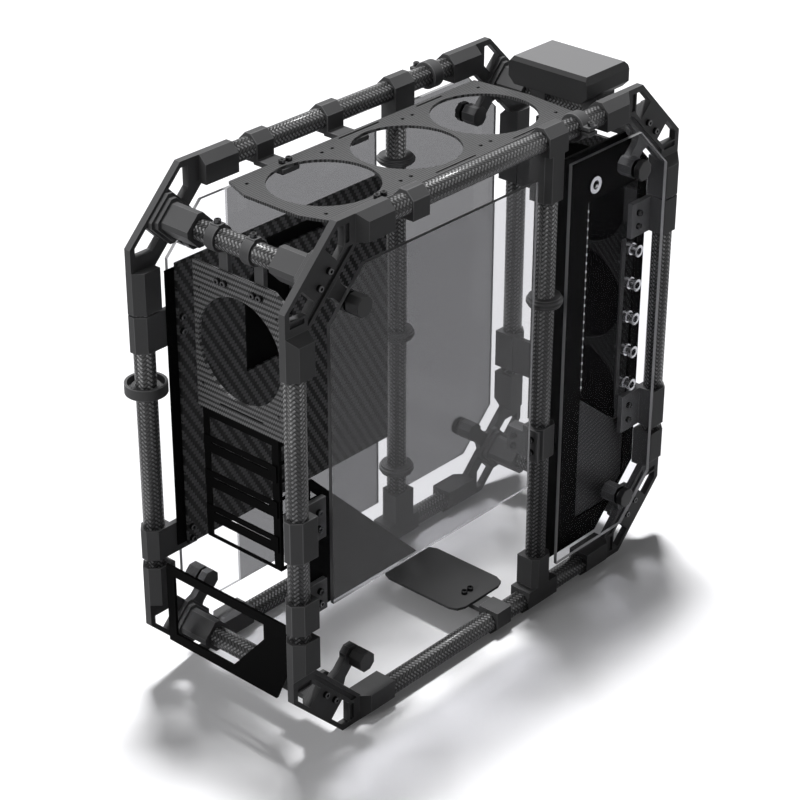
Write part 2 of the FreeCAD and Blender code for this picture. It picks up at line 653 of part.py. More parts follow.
# Far rear post: two saddles whose feet carry the strip and the tray.
clamp = post_clamp("clamp_far_rear_upper", high_clamp, high_clamp + s.high_tall, rear, far)
foot_z(clamp, far, rear(foot_start), rear(foot_end), low(high_clamp), low(high_clamp + s.high_tall))
clamp = post_clamp("clamp_far_rear_lower", s.low_clamp, s.low_clamp + s.low_tall, rear, far)
foot_z(clamp, far, rear(foot_start), rear(foot_end), low(s.low_clamp), low(s.low_clamp + s.low_tall))

# Front posts: two clamps each, with an inner foot behind the fan plate. The near ones also
# carry the distribution block.
for side, depth in (("near", near), ("far", far)):
    for name, start, tall in (("lower", s.front_clamp, s.front_tall), ("upper", high_clamp, s.high_tall)):
        clamp = post_clamp("clamp_%s_front_%s" % (side, name), start, start + tall, front, depth)
        first, last = sides(depth, s.socket_in, s.case_width / 2 - s.fan_side + s.foot_edge)
        pad(clamp, "YZ", rear(fan_plane - s.foot_wall), rear(fan_plane),
            rectangle(first, last, low(start), low(start + tall)))
        if side == "near":
            foot_z(clamp, near, front(foot_end), front(foot_start), low(start), low(start + tall))

# Near middle post: a clamp with a screwed pad on its rear face and a block on its inner side.
clamp = post_clamp("clamp_near_middle", s.pane_clamp, s.pane_clamp + s.pane_tall, rear, near, mid_post)
pad(clamp, "YZ", rear(mid_post - s.leg_half - s.pad_wall), rear(mid_post - s.leg_half),
    rectangle(near(-s.pad_half), near(s.pad_half), low(s.pane_clamp), low(s.pane_clamp + s.pane_tall)))
pad(clamp, "XZ", near(s.socket_in), near(s.inner_block),
    rectangle(rear(mid_post - s.leg_half), rear(mid_post), low(s.pane_clamp),
     low(s.pane_clamp + s.inner_tall)))


# Collars on the top tubes, with feet under the top plate.
def collar(name, start, depth):
    body = tube_clamp(name, start, start + s.collar_long, high, depth)
    first, last = sides(depth, s.socket_in - s.foot_wall, s.collar_foot)
    pad(body, "XY", low(plate_under - s.foot_wall), low(plate_under),
        rectangle(rear(start), rear(start + s.collar_long), first, last))
    return body


def clip(label, start, depth):
    """An open clip round a top tube, its slit between two ears on the outer side."""
    body = new_body(label)
    first, last = sides(depth, -s.clip_ear, -s.socket_out)
    middle = high(tube_axis)
    spot = (depth(tube_side), middle)
    pad(body, "YZ", rear(start), rear(start + s.clip_long),
        circles=[spot + (s.clip_size,), spot + (s.tube_size,)])
    pad(body, "YZ", rear(start), rear(start + s.clip_long),
        rectangle(first, last, middle - s.clip_slit / 2 - s.ear_wall, middle + s.clip_slit / 2 + s.ear_wall))
    cut(body, "YZ", rear(start), rear(start + s.clip_long),
        rectangle(*sides(depth, -s.clip_ear, 0), middle - s.clip_slit / 2, middle + s.clip_slit / 2))
    return body


collar_rear = s.socket_end + s.collar_rear
collar_middle = mid_post - s.collar_middle
group("top_collars", [
    collar("collar_near_rear", collar_rear, near),
    collar("collar_far_rear", collar_rear, far),
    collar("collar_far_middle", collar_middle, far)])


# The rings and open clips, one group of separate pieces, and the cup-shaped cable ring.
def ring(label, start, long, a, b, size, flare):
    body = new_body(label)
    for first, last, wide in ((0, 1, size), (0.3, 0.7, size + flare)):
        pad(body, "XY", start + long * first, start + long * last,
            circles=[(a, b, wide), (a, b, s.tube_size)])
    return body


group("post_rings", [
    ring("ring_a", low(s.ring_level), s.ring_tall, rear(mid_post), near(tube_side), s.ring_size,
     s.ring_flare),
    ring("ring_b", low(s.ring_middle), s.ring_tall, rear(mid_post), far(tube_side), s.ring_size,
     s.ring_flare),
    ring("ring_c", low(s.ring_low), s.ring_tall, rear(mid_post), far(tube_side), s.ring_size, s.ring_flare),
    ring("ring_d", high(s.bead_drop), s.bead_tall, rear(mid_post), far(tube_side),
     s.bead_size - s.bead_flare, s.bead_flare),
    clip("clip_near", mid_post + s.clip_spot, near),
    clip("clip_far", mid_post + s.far_clip, far)])
cup = new_body("cable_ring")
spot = (rear(tube_axis), far(tube_side))
cup_floor = cable_level + s.cable_floor
pad(cup, "XY", low(cable_level), low(cup_floor), circles=[spot + (s.cable_ring,), spot + (s.tube_size,)])
pad(cup, "XY", low(cup_floor), low(cable_level + s.cable_tall),
    circles=[spot + (s.cable_ring,), spot + (s.cable_ring - s.cable_lip * 2,)])
pad(cup, "XY", low(cup_floor), low(cup_floor + s.cable_floor),
    circles=[spot + (s.cable_hub,), spot + (s.tube_size,)])
keep("cable_rings", cup)
boss_top = s.cross_axis - s.strap_size / 2 - s.boss_rise


# Straps on the rear top cross tube; their legs carry the rear plate.
def strap(label, spot):
    body = new_body(label)
    start = near(spot - s.strap_wide / 2)
    end = near(spot + s.strap_wide / 2)
    pad(body, "XZ", start, end, circles=[(rear(s.cross_axis), high(s.cross_axis), s.strap_size)])
    pad(body, "XZ", start, end,
        rectangle(rear(rear_inner), rear(rear_inner + s.foot_wall), high(s.strap_drop), high(s.cross_axis)))
    pad(body, "XZ", start, end,
        rectangle(rear(s.cross_axis - s.strap_boss / 2), rear(s.cross_axis + s.strap_boss / 2),
                  high(s.cross_axis), high(boss_top)))
    cut(body, "XZ", start, end, circles=[(rear(s.cross_axis), high(s.cross_axis), s.tube_size)])
    return body


strap_spots = (rear_near + s.strap_near, rear_near + s.strap_far)
group("rear_straps", [strap("strap_%d" % index, spot) for index, spot in enumerate(strap_spots)])

# Top plate for three fans, with its lightening slits and fan screw holes.
top = new_body("top_plate")
plate_near = s.case_width / 2 - s.top_side
plate_far = s.case_width / 2 + s.top_side
top_rear = top_middle - s.top_half
top_front = top_middle + s.top_half
rear_corner = top_rear + s.plate_taper * 2
front_corner = top_front - s.plate_taper
pad(top, "XY", low(plate_under), low(top_level), [
    (rear(top_rear), near(plate_near + s.plate_nose)), (rear(rear_corner), near(plate_near)),
    (rear(front_corner), near(plate_near)),
    (rear(front_corner + s.plate_taper / 2), near(plate_near + s.plate_nose)),
    (rear(top_front), near(s.case_width / 2)),
    (rear(front_corner + s.plate_taper / 2), near(plate_far - s.plate_nose)),
    (rear(front_corner), near(plate_far)), (rear(rear_corner), near(plate_far)),
    (rear(top_rear), near(plate_far - s.plate_nose))])


def fan_holes(a, b):
    """The opening and the four screw holes for a fan."""
    half = s.fan_screw / 2
    screws = [(a + half * p, b + half * q, s.screw_hole) for p in (-1, 1) for q in (-1, 1)]
    return [(a, b, s.fan_hole)] + screws


holes = []
for step in (-1, 0, 1):
    holes.extend(fan_holes(rear(top_middle + s.fan_pitch * step), near(s.case_width / 2)))
cut(top, "XY", low(plate_under), low(top_level), circles=holes)
slits = []
half_slit = s.plate_slit / 2
for middle, half in ((top_middle, s.fan_pitch / 4), (top_middle + s.fan_pitch * 0.9, s.fan_pitch / 6)):
    for edge in (plate_near + s.slit_edge, plate_far - s.slit_edge):
        slits.append(rectangle(rear(middle - half), rear(middle + half), near(edge - half_slit),
            near(edge + half_slit)))
cut(top, "XY", low(plate_under), low(top_level), *slits)
keep("top_plate", top)

# Rear plate with one fan hole.
plate = new_body("rear_plate")
plate_notch = s.bracket_rim
pad(plate, "YZ", rear(s.rear_plane), rear(rear_inner), [
    (near(rear_near), low(rear_low)), (near(rear_far), low(rear_low)), (near(rear_far), low(rear_high)),
    (near(rear_near + plate_notch * 1.6), low(rear_high)), (near(rear_near), low(rear_high - plate_notch))])
slit_level = rear_low + s.flange_rail + plate_notch
cut(plate, "YZ", rear(s.rear_plane), rear(rear_inner),
    rectangle(near(rear_fan_across - s.fan_pitch / 4), near(rear_fan_across + s.fan_pitch / 4),
              low(slit_level - half_slit), low(slit_level + half_slit)),
    circles=fan_holes(near(rear_fan_across), high(s.rear_fan_drop)))
keep("rear_plate", plate)

# Folded slot bracket: a frame with the slots and, on its near side, a flange like a ladder.
folded = new_body("slot_bracket")
bracket_near = rear_near + s.bracket_inset
bracket_far = rear_far - s.plate_wall
bracket_low = slot_low - s.slot_pitch / 2
bracket_high = bracket_low + s.slot_pitch * 7 + s.bracket_rim * 2
bracket_inner = rear_inner + s.steel_wall
pad(folded, "YZ", rear(rear_inner), rear(bracket_inner),
    rectangle(near(bracket_near), near(bracket_far), low(bracket_low), low(bracket_high)),
    rectangle(near(bracket_near + s.bracket_rim), near(bracket_far - s.bracket_rim),
              low(bracket_low + s.flange_rung), low(bracket_low + s.slot_pitch * 7)))
pad(folded, "XZ", near(bracket_near - s.steel_wall), near(bracket_near),
    rectangle(rear(rear_inner), rear(rear_inner + s.flange_wide), low(bracket_low), low(bracket_high)))
gaps = []
for step in range(7):
    level = bracket_low + s.slot_pitch * step
    gaps.append(rectangle(rear(rear_inner + s.flange_rail), rear(rear_inner + s.flange_wide - s.flange_rail),
                          low(level + s.flange_rung), low(level + s.slot_pitch)))
cut(folded, "XZ", near(bracket_near - s.steel_wall), near(bracket_near), *gaps)
keep("slot_bracket", folded)

# Three slot covers, each with one long slit, on alternate slots.
covers = []
for step in (1, 3, 5):
    cover = new_body("cover_%d" % step)
    level = slot_low + s.slot_pitch * step
    pad(cover, "YZ", rear(rear_inner - s.steel_wall), rear(rear_inner),
        rectangle(near(bracket_near + s.cover_gap), near(bracket_far - s.cover_gap),
                  low(level - s.cover_tall / 2), low(level + s.cover_tall / 2)),
        rectangle(near(bracket_near + s.bracket_rim * 1.5), near(bracket_far - s.bracket_rim * 1.5),
                  low(level + half_slit), low(level + half_slit + s.plate_slit)))
    covers.append(cover)
group("slot_covers", covers)

# Motherboard tray on the far side, with its cut-outs, and the black sheet that backs it.
backing_out = s.socket_in
backing_in = backing_out + s.steel_wall
tray_in = backing_in + s.plate_wall
strip = new_body("tray_strip")
pad(strip, "XZ", far(backing_in), far(backing_out),
    rectangle(rear(s.backing_rear), rear(mid_post - s.backing_front), low(s.backing_low),
     high(s.backing_drop)))
keep("tray_strip", strip)
tray = new_body("tray")
pad(tray, "XZ", far(tray_in), far(backing_in),
    rectangle(rear(s.tray_rear), rear(tray_front), low(s.tray_low), low(tray_high)))
hole_start = s.tray_rear + s.tray_hole
hole_end = hole_start + s.hole_wide
hole_floor = s.tray_low + s.hole_low
hole_top = tray_high - s.hole_drop
slot_start = s.tray_rear + s.cable_slot
slot_top = tray_high - s.hole_cut
cut(tray, "XZ", far(tray_in), far(backing_in),
    [(rear(hole_start), low(hole_floor)), (rear(hole_end - s.hole_cut), low(hole_floor)),
     (rear(hole_end), low(hole_floor + s.hole_cut)), (rear(hole_end), low(hole_top - s.hole_cut)),
     (rear(hole_end - s.hole_cut), low(hole_top)), (rear(hole_start + s.hole_cut), low(hole_top)),
     (rear(hole_start), low(hole_top - s.hole_cut))],
    rectangle(rear(slot_start), rear(slot_start + s.cable_wide), low(slot_top - s.cable_high),
     low(slot_top)))
keep("tray", tray)

# Power supply plate: a frame round a large opening whose lower near corner is filled.
supply = new_body("psu_plate")
psu_near = s.socket_in
psu_inner = s.psu_plane + s.plate_wall
pad(supply, "YZ", rear(s.psu_plane), rear(psu_inner),
    [(near(psu_near), low(s.psu_knee)), (near(psu_near + s.psu_slope), low(s.psu_low)),
     (near(psu_far), low(s.psu_low)),
     (near(psu_far), low(s.psu_high)), (near(psu_near), low(s.psu_high))],
    [(near(psu_near + s.psu_web), low(s.psu_brace_high)),
     (near(psu_near + s.psu_web + s.psu_brace), low(s.psu_low + s.psu_rim)),
     (near(psu_far - s.psu_rim), low(s.psu_low + s.psu_rim)),
     (near(psu_far - s.psu_rim), low(s.psu_high - s.psu_rim)),
     (near(psu_near + s.psu_web), low(s.psu_high - s.psu_rim))])
keep("psu_plate", supply)

# Near lower plate with a sloped edge, held by the feet of the near rear clamps.
gusset = new_body("near_lower_plate")
gusset_rear = s.socket_wide + s.gusset_gap
gusset_low = s.low_clamp
notch = rear(gusset_rear + s.gusset_gap / 2)
pad(gusset, "XZ", near(s.socket_in), near(s.socket_in + s.plate_wall),
    [(rear(gusset_rear), low(gusset_low)),
     (rear(s.gusset_slope + s.gusset_high - gusset_low), low(gusset_low)),
     (rear(s.gusset_slope), low(s.gusset_high)), (rear(gusset_rear), low(s.gusset_high))],
    [(notch, low(s.gusset_high - s.gusset_gap * 2)),
     (notch + s.gusset_gap, low(s.gusset_high - s.gusset_gap * 2)),
     (notch, low(s.gusset_high - s.gusset_gap))])
keep("near_lower_plate", gusset)


# Glass: rear panes lie against the webs, front panes on the outer faces of the clamps.
def pane(name, depth, outer, start, end, floor, top, cuts, hole_levels, hole_spot=s.holder_spot):
    body = new_body(name)
    first, last = sides(depth, -outer - s.glass_wall, -outer)
    size = s.glass_cut
    outline = []
    corners = ((start, floor, 1, 1, "start_low"), (end, floor, -1, 1, "end_low"),
               (end, top, -1, -1, "end_high"), (start, top, 1, -1, "start_high"))
    for index, (a, b, inward, upward, corner) in enumerate(corners):
        if corner in cuts:
            along, down = (rear(a + size * inward), low(b)), (rear(a), low(b + size * upward))
            outline.extend((down, along) if index in (0, 2) else (along, down))
        else:
            outline.append((rear(a), low(b)))
    pad(body, "XZ", first, last, outline,
        circles=[(rear(hole_spot), level, s.glass_hole) for level in hole_levels])
    return keep(name, body)


pane("glass_near_rear", near, 0, s.glass_rear, glass_seam, s.glass_low, glass_high,
     ("start_high",), [high(s.holder_spot)])
pane("glass_near_front", near, s.socket_out, pane_start, pane_front, s.pane_low, pane_high,
     ("end_low", "end_high"), [low(s.holder_spot), high(s.holder_spot)], s.case_length - s.holder_spot)
pane("glass_far_rear", far, 0, s.glass_rear, glass_seam, s.far_low, glass_high,
     ("start_low", "start_high"), [low(s.holder_spot), high(s.holder_spot)])
pane("glass_far_front", far, s.socket_out, pane_start, pane_front, s.pane_low, pane_high,
     ("end_low", "end_high"), [low(s.holder_spot), high(s.holder_spot)], s.case_length - s.holder_spot)

# A glass holder: a neck from the bracket along the diagonal, ending in an octagonal boss, and
# the octagonal knob whose screw goes through the glass into the boss. The front panes stand
# further out than the rear ones, so the front bosses are longer and the front knobs shorter.
spot = s.holder_spot
neck_end = s.rib_end + s.neck_taper
necks = ((s.rib_end, -s.neck_wide), (neck_end, -s.neck_half), (spot / DIAGONAL, -s.neck_half),
         (spot / DIAGONAL, s.neck_half), (neck_end, s.neck_half), (s.rib_end, s.neck_wide))


def holder_pair(end, across, glass_inner):
    """The holder and the knob at one near bottom corner."""
    face = octagon(across(spot), low(spot), s.holder_size / 2, s.holder_corner)
    stem = [(across(spot), low(spot), s.stem_size)]
    seat = s.web_wall - s.plate_slit
    holder = new_body("holder_" + end)
    neck = [(across((along - side) * DIAGONAL), low((along + side) * DIAGONAL)) for along, side in necks]
    pad(holder, "XZ", near(0), near(s.web_wall), neck)
    pad(holder, "XZ", near(-glass_inner), near(s.web_wall + 1), face)
    cut(holder, "XZ", near(-glass_inner), near(seat), circles=stem)
    knob = new_body("knob_" + end)
    pad(knob, "XZ", near(-s.knob_out), near(-glass_inner - s.glass_wall), face)
    pad(knob, "XZ", near(-glass_inner - s.glass_wall), near(seat), circles=stem)
    return holder, knob


def four(source, name):
    """The piece at the four corners of one end of the case."""
    pieces = [source]
    for plane in (UPRIGHT, CROSSWISE):
        for item in list(pieces):
            pieces.append(mirror(item, "Copy_%s_%d" % (name, len(pieces)), plane))
    return pieces


rear_holder, rear_knob = holder_pair("rear", rear, 0)
front_holder, front_knob = holder_pair("front", front, s.socket_out)
group("glass_holders", four(rear_holder, "rear_holder") + four(front_holder, "front_holder"))
group("glass_knobs", four(rear_knob, "rear_knob") + four(front_knob, "front_knob"))

# Front fan plate with three fan holes.
plate = new_body("front_fan_plate")
fan_near = s.case_width / 2 - s.fan_side
fan_far = s.case_width / 2 + s.fan_side
fan_outline = rectangle(near(fan_near), near(fan_far), low(s.fan_level - s.fan_half),
    low(s.fan_level + s.fan_half))
pad(plate, "YZ", rear(fan_plane), rear(fan_plane + s.plate_wall), fan_outline)
holes = []
for step in (-1, 0, 1):
    holes.extend(fan_holes(near(s.case_width / 2), low(s.fan_level + s.fan_pitch * step)))
cut(plate, "YZ", rear(fan_plane), rear(fan_plane + s.plate_wall), circles=holes)
keep("front_fan_plate", plate)
# A fine screen in front of it, with the same screw holes.
screen = new_body("front_screen")
screen_end = fan_plane + s.plate_wall + s.screen_wall
pad(screen, "YZ", rear(fan_plane + s.plate_wall), rear(screen_end), fan_outline,
    circles=[hole for hole in holes if hole[2] is s.screw_hole])
keep("front_screen", screen)

# Black side panel inside the near front glass, with a large window and the bore of the port.
panel_in = s.socket_in + s.plate_wall
panel = new_body("block_panel")
side_rear = mid_post + s.side_overlap
side_front = s.side_inset
view_front = s.view_front + s.light_wide
port = (front(s.port_spot), high(s.port_drop))
# A notch in its rear edge leaves room for the ring on the near middle post.
notch_low = s.ring_level - s.side_overlap / 2
notch_high = s.ring_level + s.ring_tall + s.side_overlap / 2
pad(panel, "XZ", near(s.socket_in), near(panel_in),
    [(rear(side_rear), low(s.side_low)), (front(side_front + s.side_cut_low), low(s.side_low)),
     (front(side_front), low(s.side_low + s.side_cut_low)),
     (front(side_front), high(s.side_drop + s.side_cut_high)),
     (front(side_front + s.side_cut_high), high(s.side_drop)), (rear(side_rear), high(s.side_drop)),
     (rear(side_rear), low(notch_high)), (rear(pane_start), low(notch_high)),
     (rear(pane_start), low(notch_low)), (rear(side_rear), low(notch_low))],
    [(front(s.view_rear), low(s.view_low)), (front(view_front + s.view_cut), low(s.view_low)),
     (front(view_front), low(s.view_low + s.view_cut)), (front(s.view_front), high(s.view_drop)),
     (front(s.view_rear), high(s.view_drop))],
    circles=[port + (s.port_bore,)])
keep("block_panel", panel)
ring_piece = new_body("port_ring")
pad(ring_piece, "XZ", near(s.socket_in - s.plate_wall), near(s.socket_in),
    circles=[port + (s.port_size,), port + (s.port_bore,)])
keep("port_ring", ring_piece)

# Clear distribution block behind the window, and the carbon plate under its sloped edge.
block = new_body("distribution_block")
block_near = panel_in
block_front = s.block_inset
block_rear = s.block_inset + s.block_long
slope_top = s.block_low + s.block_slope
pad(block, "XZ", near(block_near), near(block_near + s.block_wall),
    [(front(block_rear), low(slope_top)), (front(block_front + s.block_level), low(s.block_low)),
     (front(block_front), low(s.block_low)), (front(block_front), high(s.block_drop)),
     (front(block_rear), high(s.block_drop))])
keep("distribution_block", block)
lower = new_body("block_plate")
pad(lower, "XZ", near(block_near), near(block_near + s.plate_wall),
    [(front(block_rear), low(s.low_plate_low)), (front(side_front + s.low_plate_cut), low(s.low_plate_low)),
     (front(side_front), low(s.low_plate_low + s.low_plate_cut)),
     (front(side_front), low(s.block_low - s.low_plate_gap)),
     (front(block_front + s.block_level), low(s.block_low - s.low_plate_gap)),
     (front(block_rear), low(slope_top - s.low_plate_gap))])
keep("block_plate", lower)

# On the block: a strip of lights, an upright rail and five fittings.
light_start = s.view_rear
light_end = s.view_rear - s.light_wide
strip = new_body("light_strip")
light_near = block_near - s.light_wall
pad(strip, "XZ", near(light_near), near(block_near),
    rectangle(front(light_start), front(light_end), low(slope_top), high(s.view_drop)))
LIGHTS = 22
lights = []
for step in range(LIGHTS):
    level = slope_top + s.light_pitch * (step + 0.5)
    lights.append(rectangle(front(light_start - s.light_wide / 2 + s.light_size / 2),
                            front(light_start - s.light_wide / 2 - s.light_size / 2),
                            low(level - s.light_size / 2), low(level + s.light_size / 2)))
pad(strip, "XZ", near(light_near - s.light_wall), near(light_near), *lights)
rail = new_body("block_rail")
pad(rail, "XZ", near(block_near - s.rail_wall), near(block_near),
    rectangle(front(s.rail_spot + s.rail_wide / 2), front(s.rail_spot - s.rail_wide / 2),
              low(clamp_top + s.rail_gap), low(high_clamp - s.rail_gap)))
fittings = [strip, rail]
fitting_low = clamp_top + s.fitting_edge
fitting_pitch = (high_clamp - clamp_top - s.fitting_edge * 2) / 4
for step in range(5):
    fitting = new_body("fitting_%d" % step)
    spot = (front(s.fitting_spot), low(fitting_low + fitting_pitch * step))
    end = block_near - s.fitting_long
    for first, last, wide in ((0, 0.25, s.fitting_size), (0.25, 0.6, s.fitting_neck),
        (0.6, 1, s.fitting_size)):
        pad(fitting, "XZ", near(end + s.fitting_long * first), near(end + s.fitting_long * last),
            circles=[spot + (wide,), spot + (s.fitting_bore,)])
    fittings.append(fitting)
group("block_fittings", fittings)

# Bottom plate and the clamp block that holds it on the near bottom tube.
base = new_body("bottom_plate")
base_under = s.base_level - s.plate_wall
corner = s.base_round * (1 - DIAGONAL)
outline = []
for a, b, inward, upward in ((base_rear, s.base_near, 1, 1), (base_front, s.base_near, -1, 1),
                             (base_front, s.base_far, -1, -1), (base_rear, s.base_far, 1, -1)):
    spots = [(a, b + s.base_round * upward), (a + corner * inward, b + corner * upward),
             (a + s.base_round * inward, b)]
    outline.extend(spots if inward == upward else spots[::-1])
pad(base, "XY", low(base_under), low(s.base_level), [(rear(a), near(b)) for a, b in outline])
keep("bottom_plate", base)
clamp = keep("clamp_bottom_plate",
    tube_clamp("bottom_clamp", base_block, base_block + s.collar_long, low, near))
pad(clamp, "XY", low(base_under - s.foot_wall), low(base_under),
    rectangle(rear(base_block), rear(base_block + s.collar_long), near(s.socket_in), near(s.collar_foot)))

# Control box over the front top cross tube: two saddles, a base, a bevelled shell and a button.
mounts = []
for index, spot in enumerate((s.box_near + s.mount_inset, box_far - s.mount_inset)):
    mount = new_body("box_mount_%d" % index)
    start, end = near(spot - s.mount_wide / 2), near(spot + s.mount_wide / 2)
    pad(mount, "XZ", start, end, circles=[(front(s.cross_axis), high(s.cross_axis), s.mount_size)])
    pad(mount, "XZ", start, end,
        rectangle(front(s.cross_axis + s.mount_size / 2), front(s.cross_axis - s.mount_size / 2),
                  high(s.cross_axis), low(box_low)))
    cut(mount, "XZ", start, end, circles=[(front(s.cross_axis), high(s.cross_axis), s.tube_size)])
    mounts.append(mount)
group("box_mounts", mounts)
lid = new_body("box_base")
pad(lid, "YZ", rear(box_rear), rear(box_front), [
    (near(s.box_near + s.box_bevel), low(box_low)), (near(box_far - s.box_bevel), low(box_low)),
    (near(box_far - s.box_bevel + s.box_wall), low(box_low + s.box_wall)),
    (near(s.box_near + s.box_bevel - s.box_wall), low(box_low + s.box_wall))])
keep("box_base", lid)
shell = new_body("box_shell")
shell_low = box_low + s.box_wall
pad(shell, "YZ", rear(box_rear), rear(box_front), [
    (near(s.box_near + s.box_bevel - s.box_wall), low(shell_low)),
    (near(box_far - s.box_bevel + s.box_wall), low(shell_low)),
    (near(box_far), low(box_low + s.box_bevel)), (near(box_far), high(s.box_bevel)),
    (near(box_far - s.box_edge), high(0)), (near(s.box_near + s.box_edge), high(0)),
    (near(s.box_near), high(s.box_bevel)), (near(s.box_near), low(box_low + s.box_bevel))])
cut(shell, "XY", low(shell_low), high(s.box_wall),
    rectangle(rear(box_rear + s.box_wall), rear(box_front - s.box_wall),
              near(s.box_near + s.box_bevel), near(box_far - s.box_bevel)))
edge = s.box_edge
cut(shell, "XZ", near(s.box_near), near(box_far),
    [(rear(box_rear), high(edge)), (rear(box_rear + edge), high(0)), (rear(box_rear), high(0))],
    [(rear(box_front), high(edge)), (rear(box_front), high(0)), (rear(box_front - edge), high(0))])
button_across = near(s.case_width / 2)
button_level = (box_low + s.case_height) / 2
cut(shell, "YZ", rear(box_front - s.box_wall), rear(box_front),
    circles=[(button_across, button_level, s.button_size + s.button_gap * 2)])
keep("box_shell", shell)
button = new_body("power_button")
flange = box_front - s.box_wall - s.button_gap
pad(button, "YZ", rear(flange - 2), rear(flange), circles=[(button_across, button_level, s.button_size + 4)])
pad(button, "YZ", rear(flange), rear(box_front + s.button_travel),
    circles=[(button_across, button_level, s.button_size)])
keep("power_button", button)

doc.recompute()


# Socket-head screws: one screw, then groups of it at the places that need it.
screw = new_body("screw")
pad(screw, "XY", low(0), low(s.bolt_tall), circles=[(0, 0, s.bolt_head)])
half_key = s.bolt_key / 2
corner = half_key / (3 ** 0.5)
cut(screw, "XY", low(s.bolt_tall / 2), low(s.bolt_tall),
    [(half_key, -corner), (half_key, corner), (0, corner * 2),
     (-half_key, corner), (-half_key, -corner), (0, -corner * 2)])
doc.recompute()


def bolts(name, spots):
    """Screws whose heads stand out along the given direction from the given places."""
    pieces = []
    for place, direction in spots:
        shape = screw.Shape.copy()
        turn = FreeCAD.Rotation(Vector(0, 0, 1), Vector(*direction))
        shape.Placement = FreeCAD.Placement(Vector(*[number(value) for value in place]), turn)
        pieces.append(shape)
    item = doc.addObject("Part::Feature", "Bolts_" + name)
    item.Shape = Part.Compound(pieces)
    return keep(name, item)


# Two screws on every bracket boss.
row_line = s.rib_start - s.bolt_row
spots = []
for side, depth, out in (("near", near, -1), ("far", far, 1)):
    for across in (rear, front):
        for up in (low, high):
            for shift in (-s.bolt_spread / 2, s.bolt_spread / 2):
                place = (across((row_line - shift) * DIAGONAL), depth(0), up((row_line + shift) * DIAGONAL))
                spots.append((place, (0, out, 0)))
bolts("bracket_bolts", spots)
# Screws in the clamp feet: the far ones hold the tray and show on its inner face.
inner = s.socket_in - s.foot_wall
foot_middle = s.socket_wide + s.foot_long - s.foot_edge
PAIR = (0.3, 0.7)
spots = []
for share in PAIR:
    for start, tall in ((s.low_clamp, s.low_tall), (s.mid_clamp, s.mid_tall)):
        spots.append(((rear(foot_middle), near(inner), low(start + tall * share)), (0, -1, 0)))
    for start, tall in ((s.low_clamp, s.low_tall), (high_clamp, s.high_tall)):
        spots.append(((rear(foot_middle), far(tray_in), low(start + tall * share)), (0, -1, 0)))
    for start, tall in ((s.front_clamp, s.front_tall), (high_clamp, s.high_tall)):
        spots.append(((front(foot_middle), near(inner), low(start + tall * share)), (0, -1, 0)))
bolts("foot_bolts", spots)
# Screws on the near middle clamp, its inner block, the straps and the open clips.
spots = []
for share in PAIR:
    spots.append(((rear(mid_post - s.leg_half - s.pad_wall), near(0),
        low(s.pane_clamp + s.pane_tall * share)), (-1, 0, 0)))
    level = low(s.pane_clamp + s.inner_tall * share)
    spots.append(((rear(mid_post - s.leg_half), near((s.socket_in + s.inner_block) / 2), level), (-1, 0, 0)))
for spot in strap_spots:
    for shift in (-s.strap_screws / 2, s.strap_screws / 2):
        spots.append(((rear(s.rear_plane), near(spot + shift), high(s.strap_drop - s.bracket_rim)),
            (-1, 0, 0)))
    spots.append(((rear(s.cross_axis), near(spot), high(boss_top)), (0, 0, 1)))
ear_top = tube_axis - s.clip_slit / 2 - s.ear_wall
ear_spot = -s.clip_ear + s.bolt_head / 2
for start, depth in ((s.clip_spot, near), (s.far_clip, far)):
    spots.append(((rear(mid_post + start + s.clip_long / 2), depth(ear_spot), high(ear_top)), (0, 0, 1)))
bolts("clamp_bolts", spots)
# Screws through the top plate into the rear collars, and through the bottom plate.
spots = []
foot_spot = s.collar_foot - s.collar_edge
for share in PAIR:
    for depth in (near, far):
        spots.append(((rear(collar_rear + s.collar_long * share), depth(foot_spot), low(top_level)),
            (0, 0, 1)))
    spots.append(((rear(base_block + s.collar_long * share), near(foot_spot), low(s.base_level)), (0, 0, 1)))
bolts("plate_bolts", spots)

doc.recompute()
for item in doc.Objects:
    if "Invalid" in item.State or "Error" in item.State:
        raise RuntimeError("failed: " + item.Name)
for feature in CUTS:
    if feature.Shape.Volume >= feature.BaseFeature.Shape.Volume - 1e-6:
        raise RuntimeError("a pocket removed nothing: " + feature.Name)
os.makedirs("parts", exist_ok=True)
for name, item in NODES.items():
    if item.Shape.isNull() or not item.Shape.isValid():
        raise RuntimeError("bad shape: " + name)
    item.Shape.exportStep("parts/%s.step" % name)
print("wrote", len(NODES), "parts")
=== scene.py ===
# %% [markdown]
# An open computer case: carbon tubes in moulded corner brackets, tinted glass on both sides, carbon
# plates for the fans and a small control box on top. The solids come ready made from the drawing
# office, so this lesson dresses them: it rounds the moulded edges, cuts real screw heads, makes the
# tubes smoothly round, and gives every surface its weave, grain or polish. First the solids are
# loaded.

# %% Load the solids
import json
import math

import bmesh
import bpy
from mathutils import Matrix, Vector


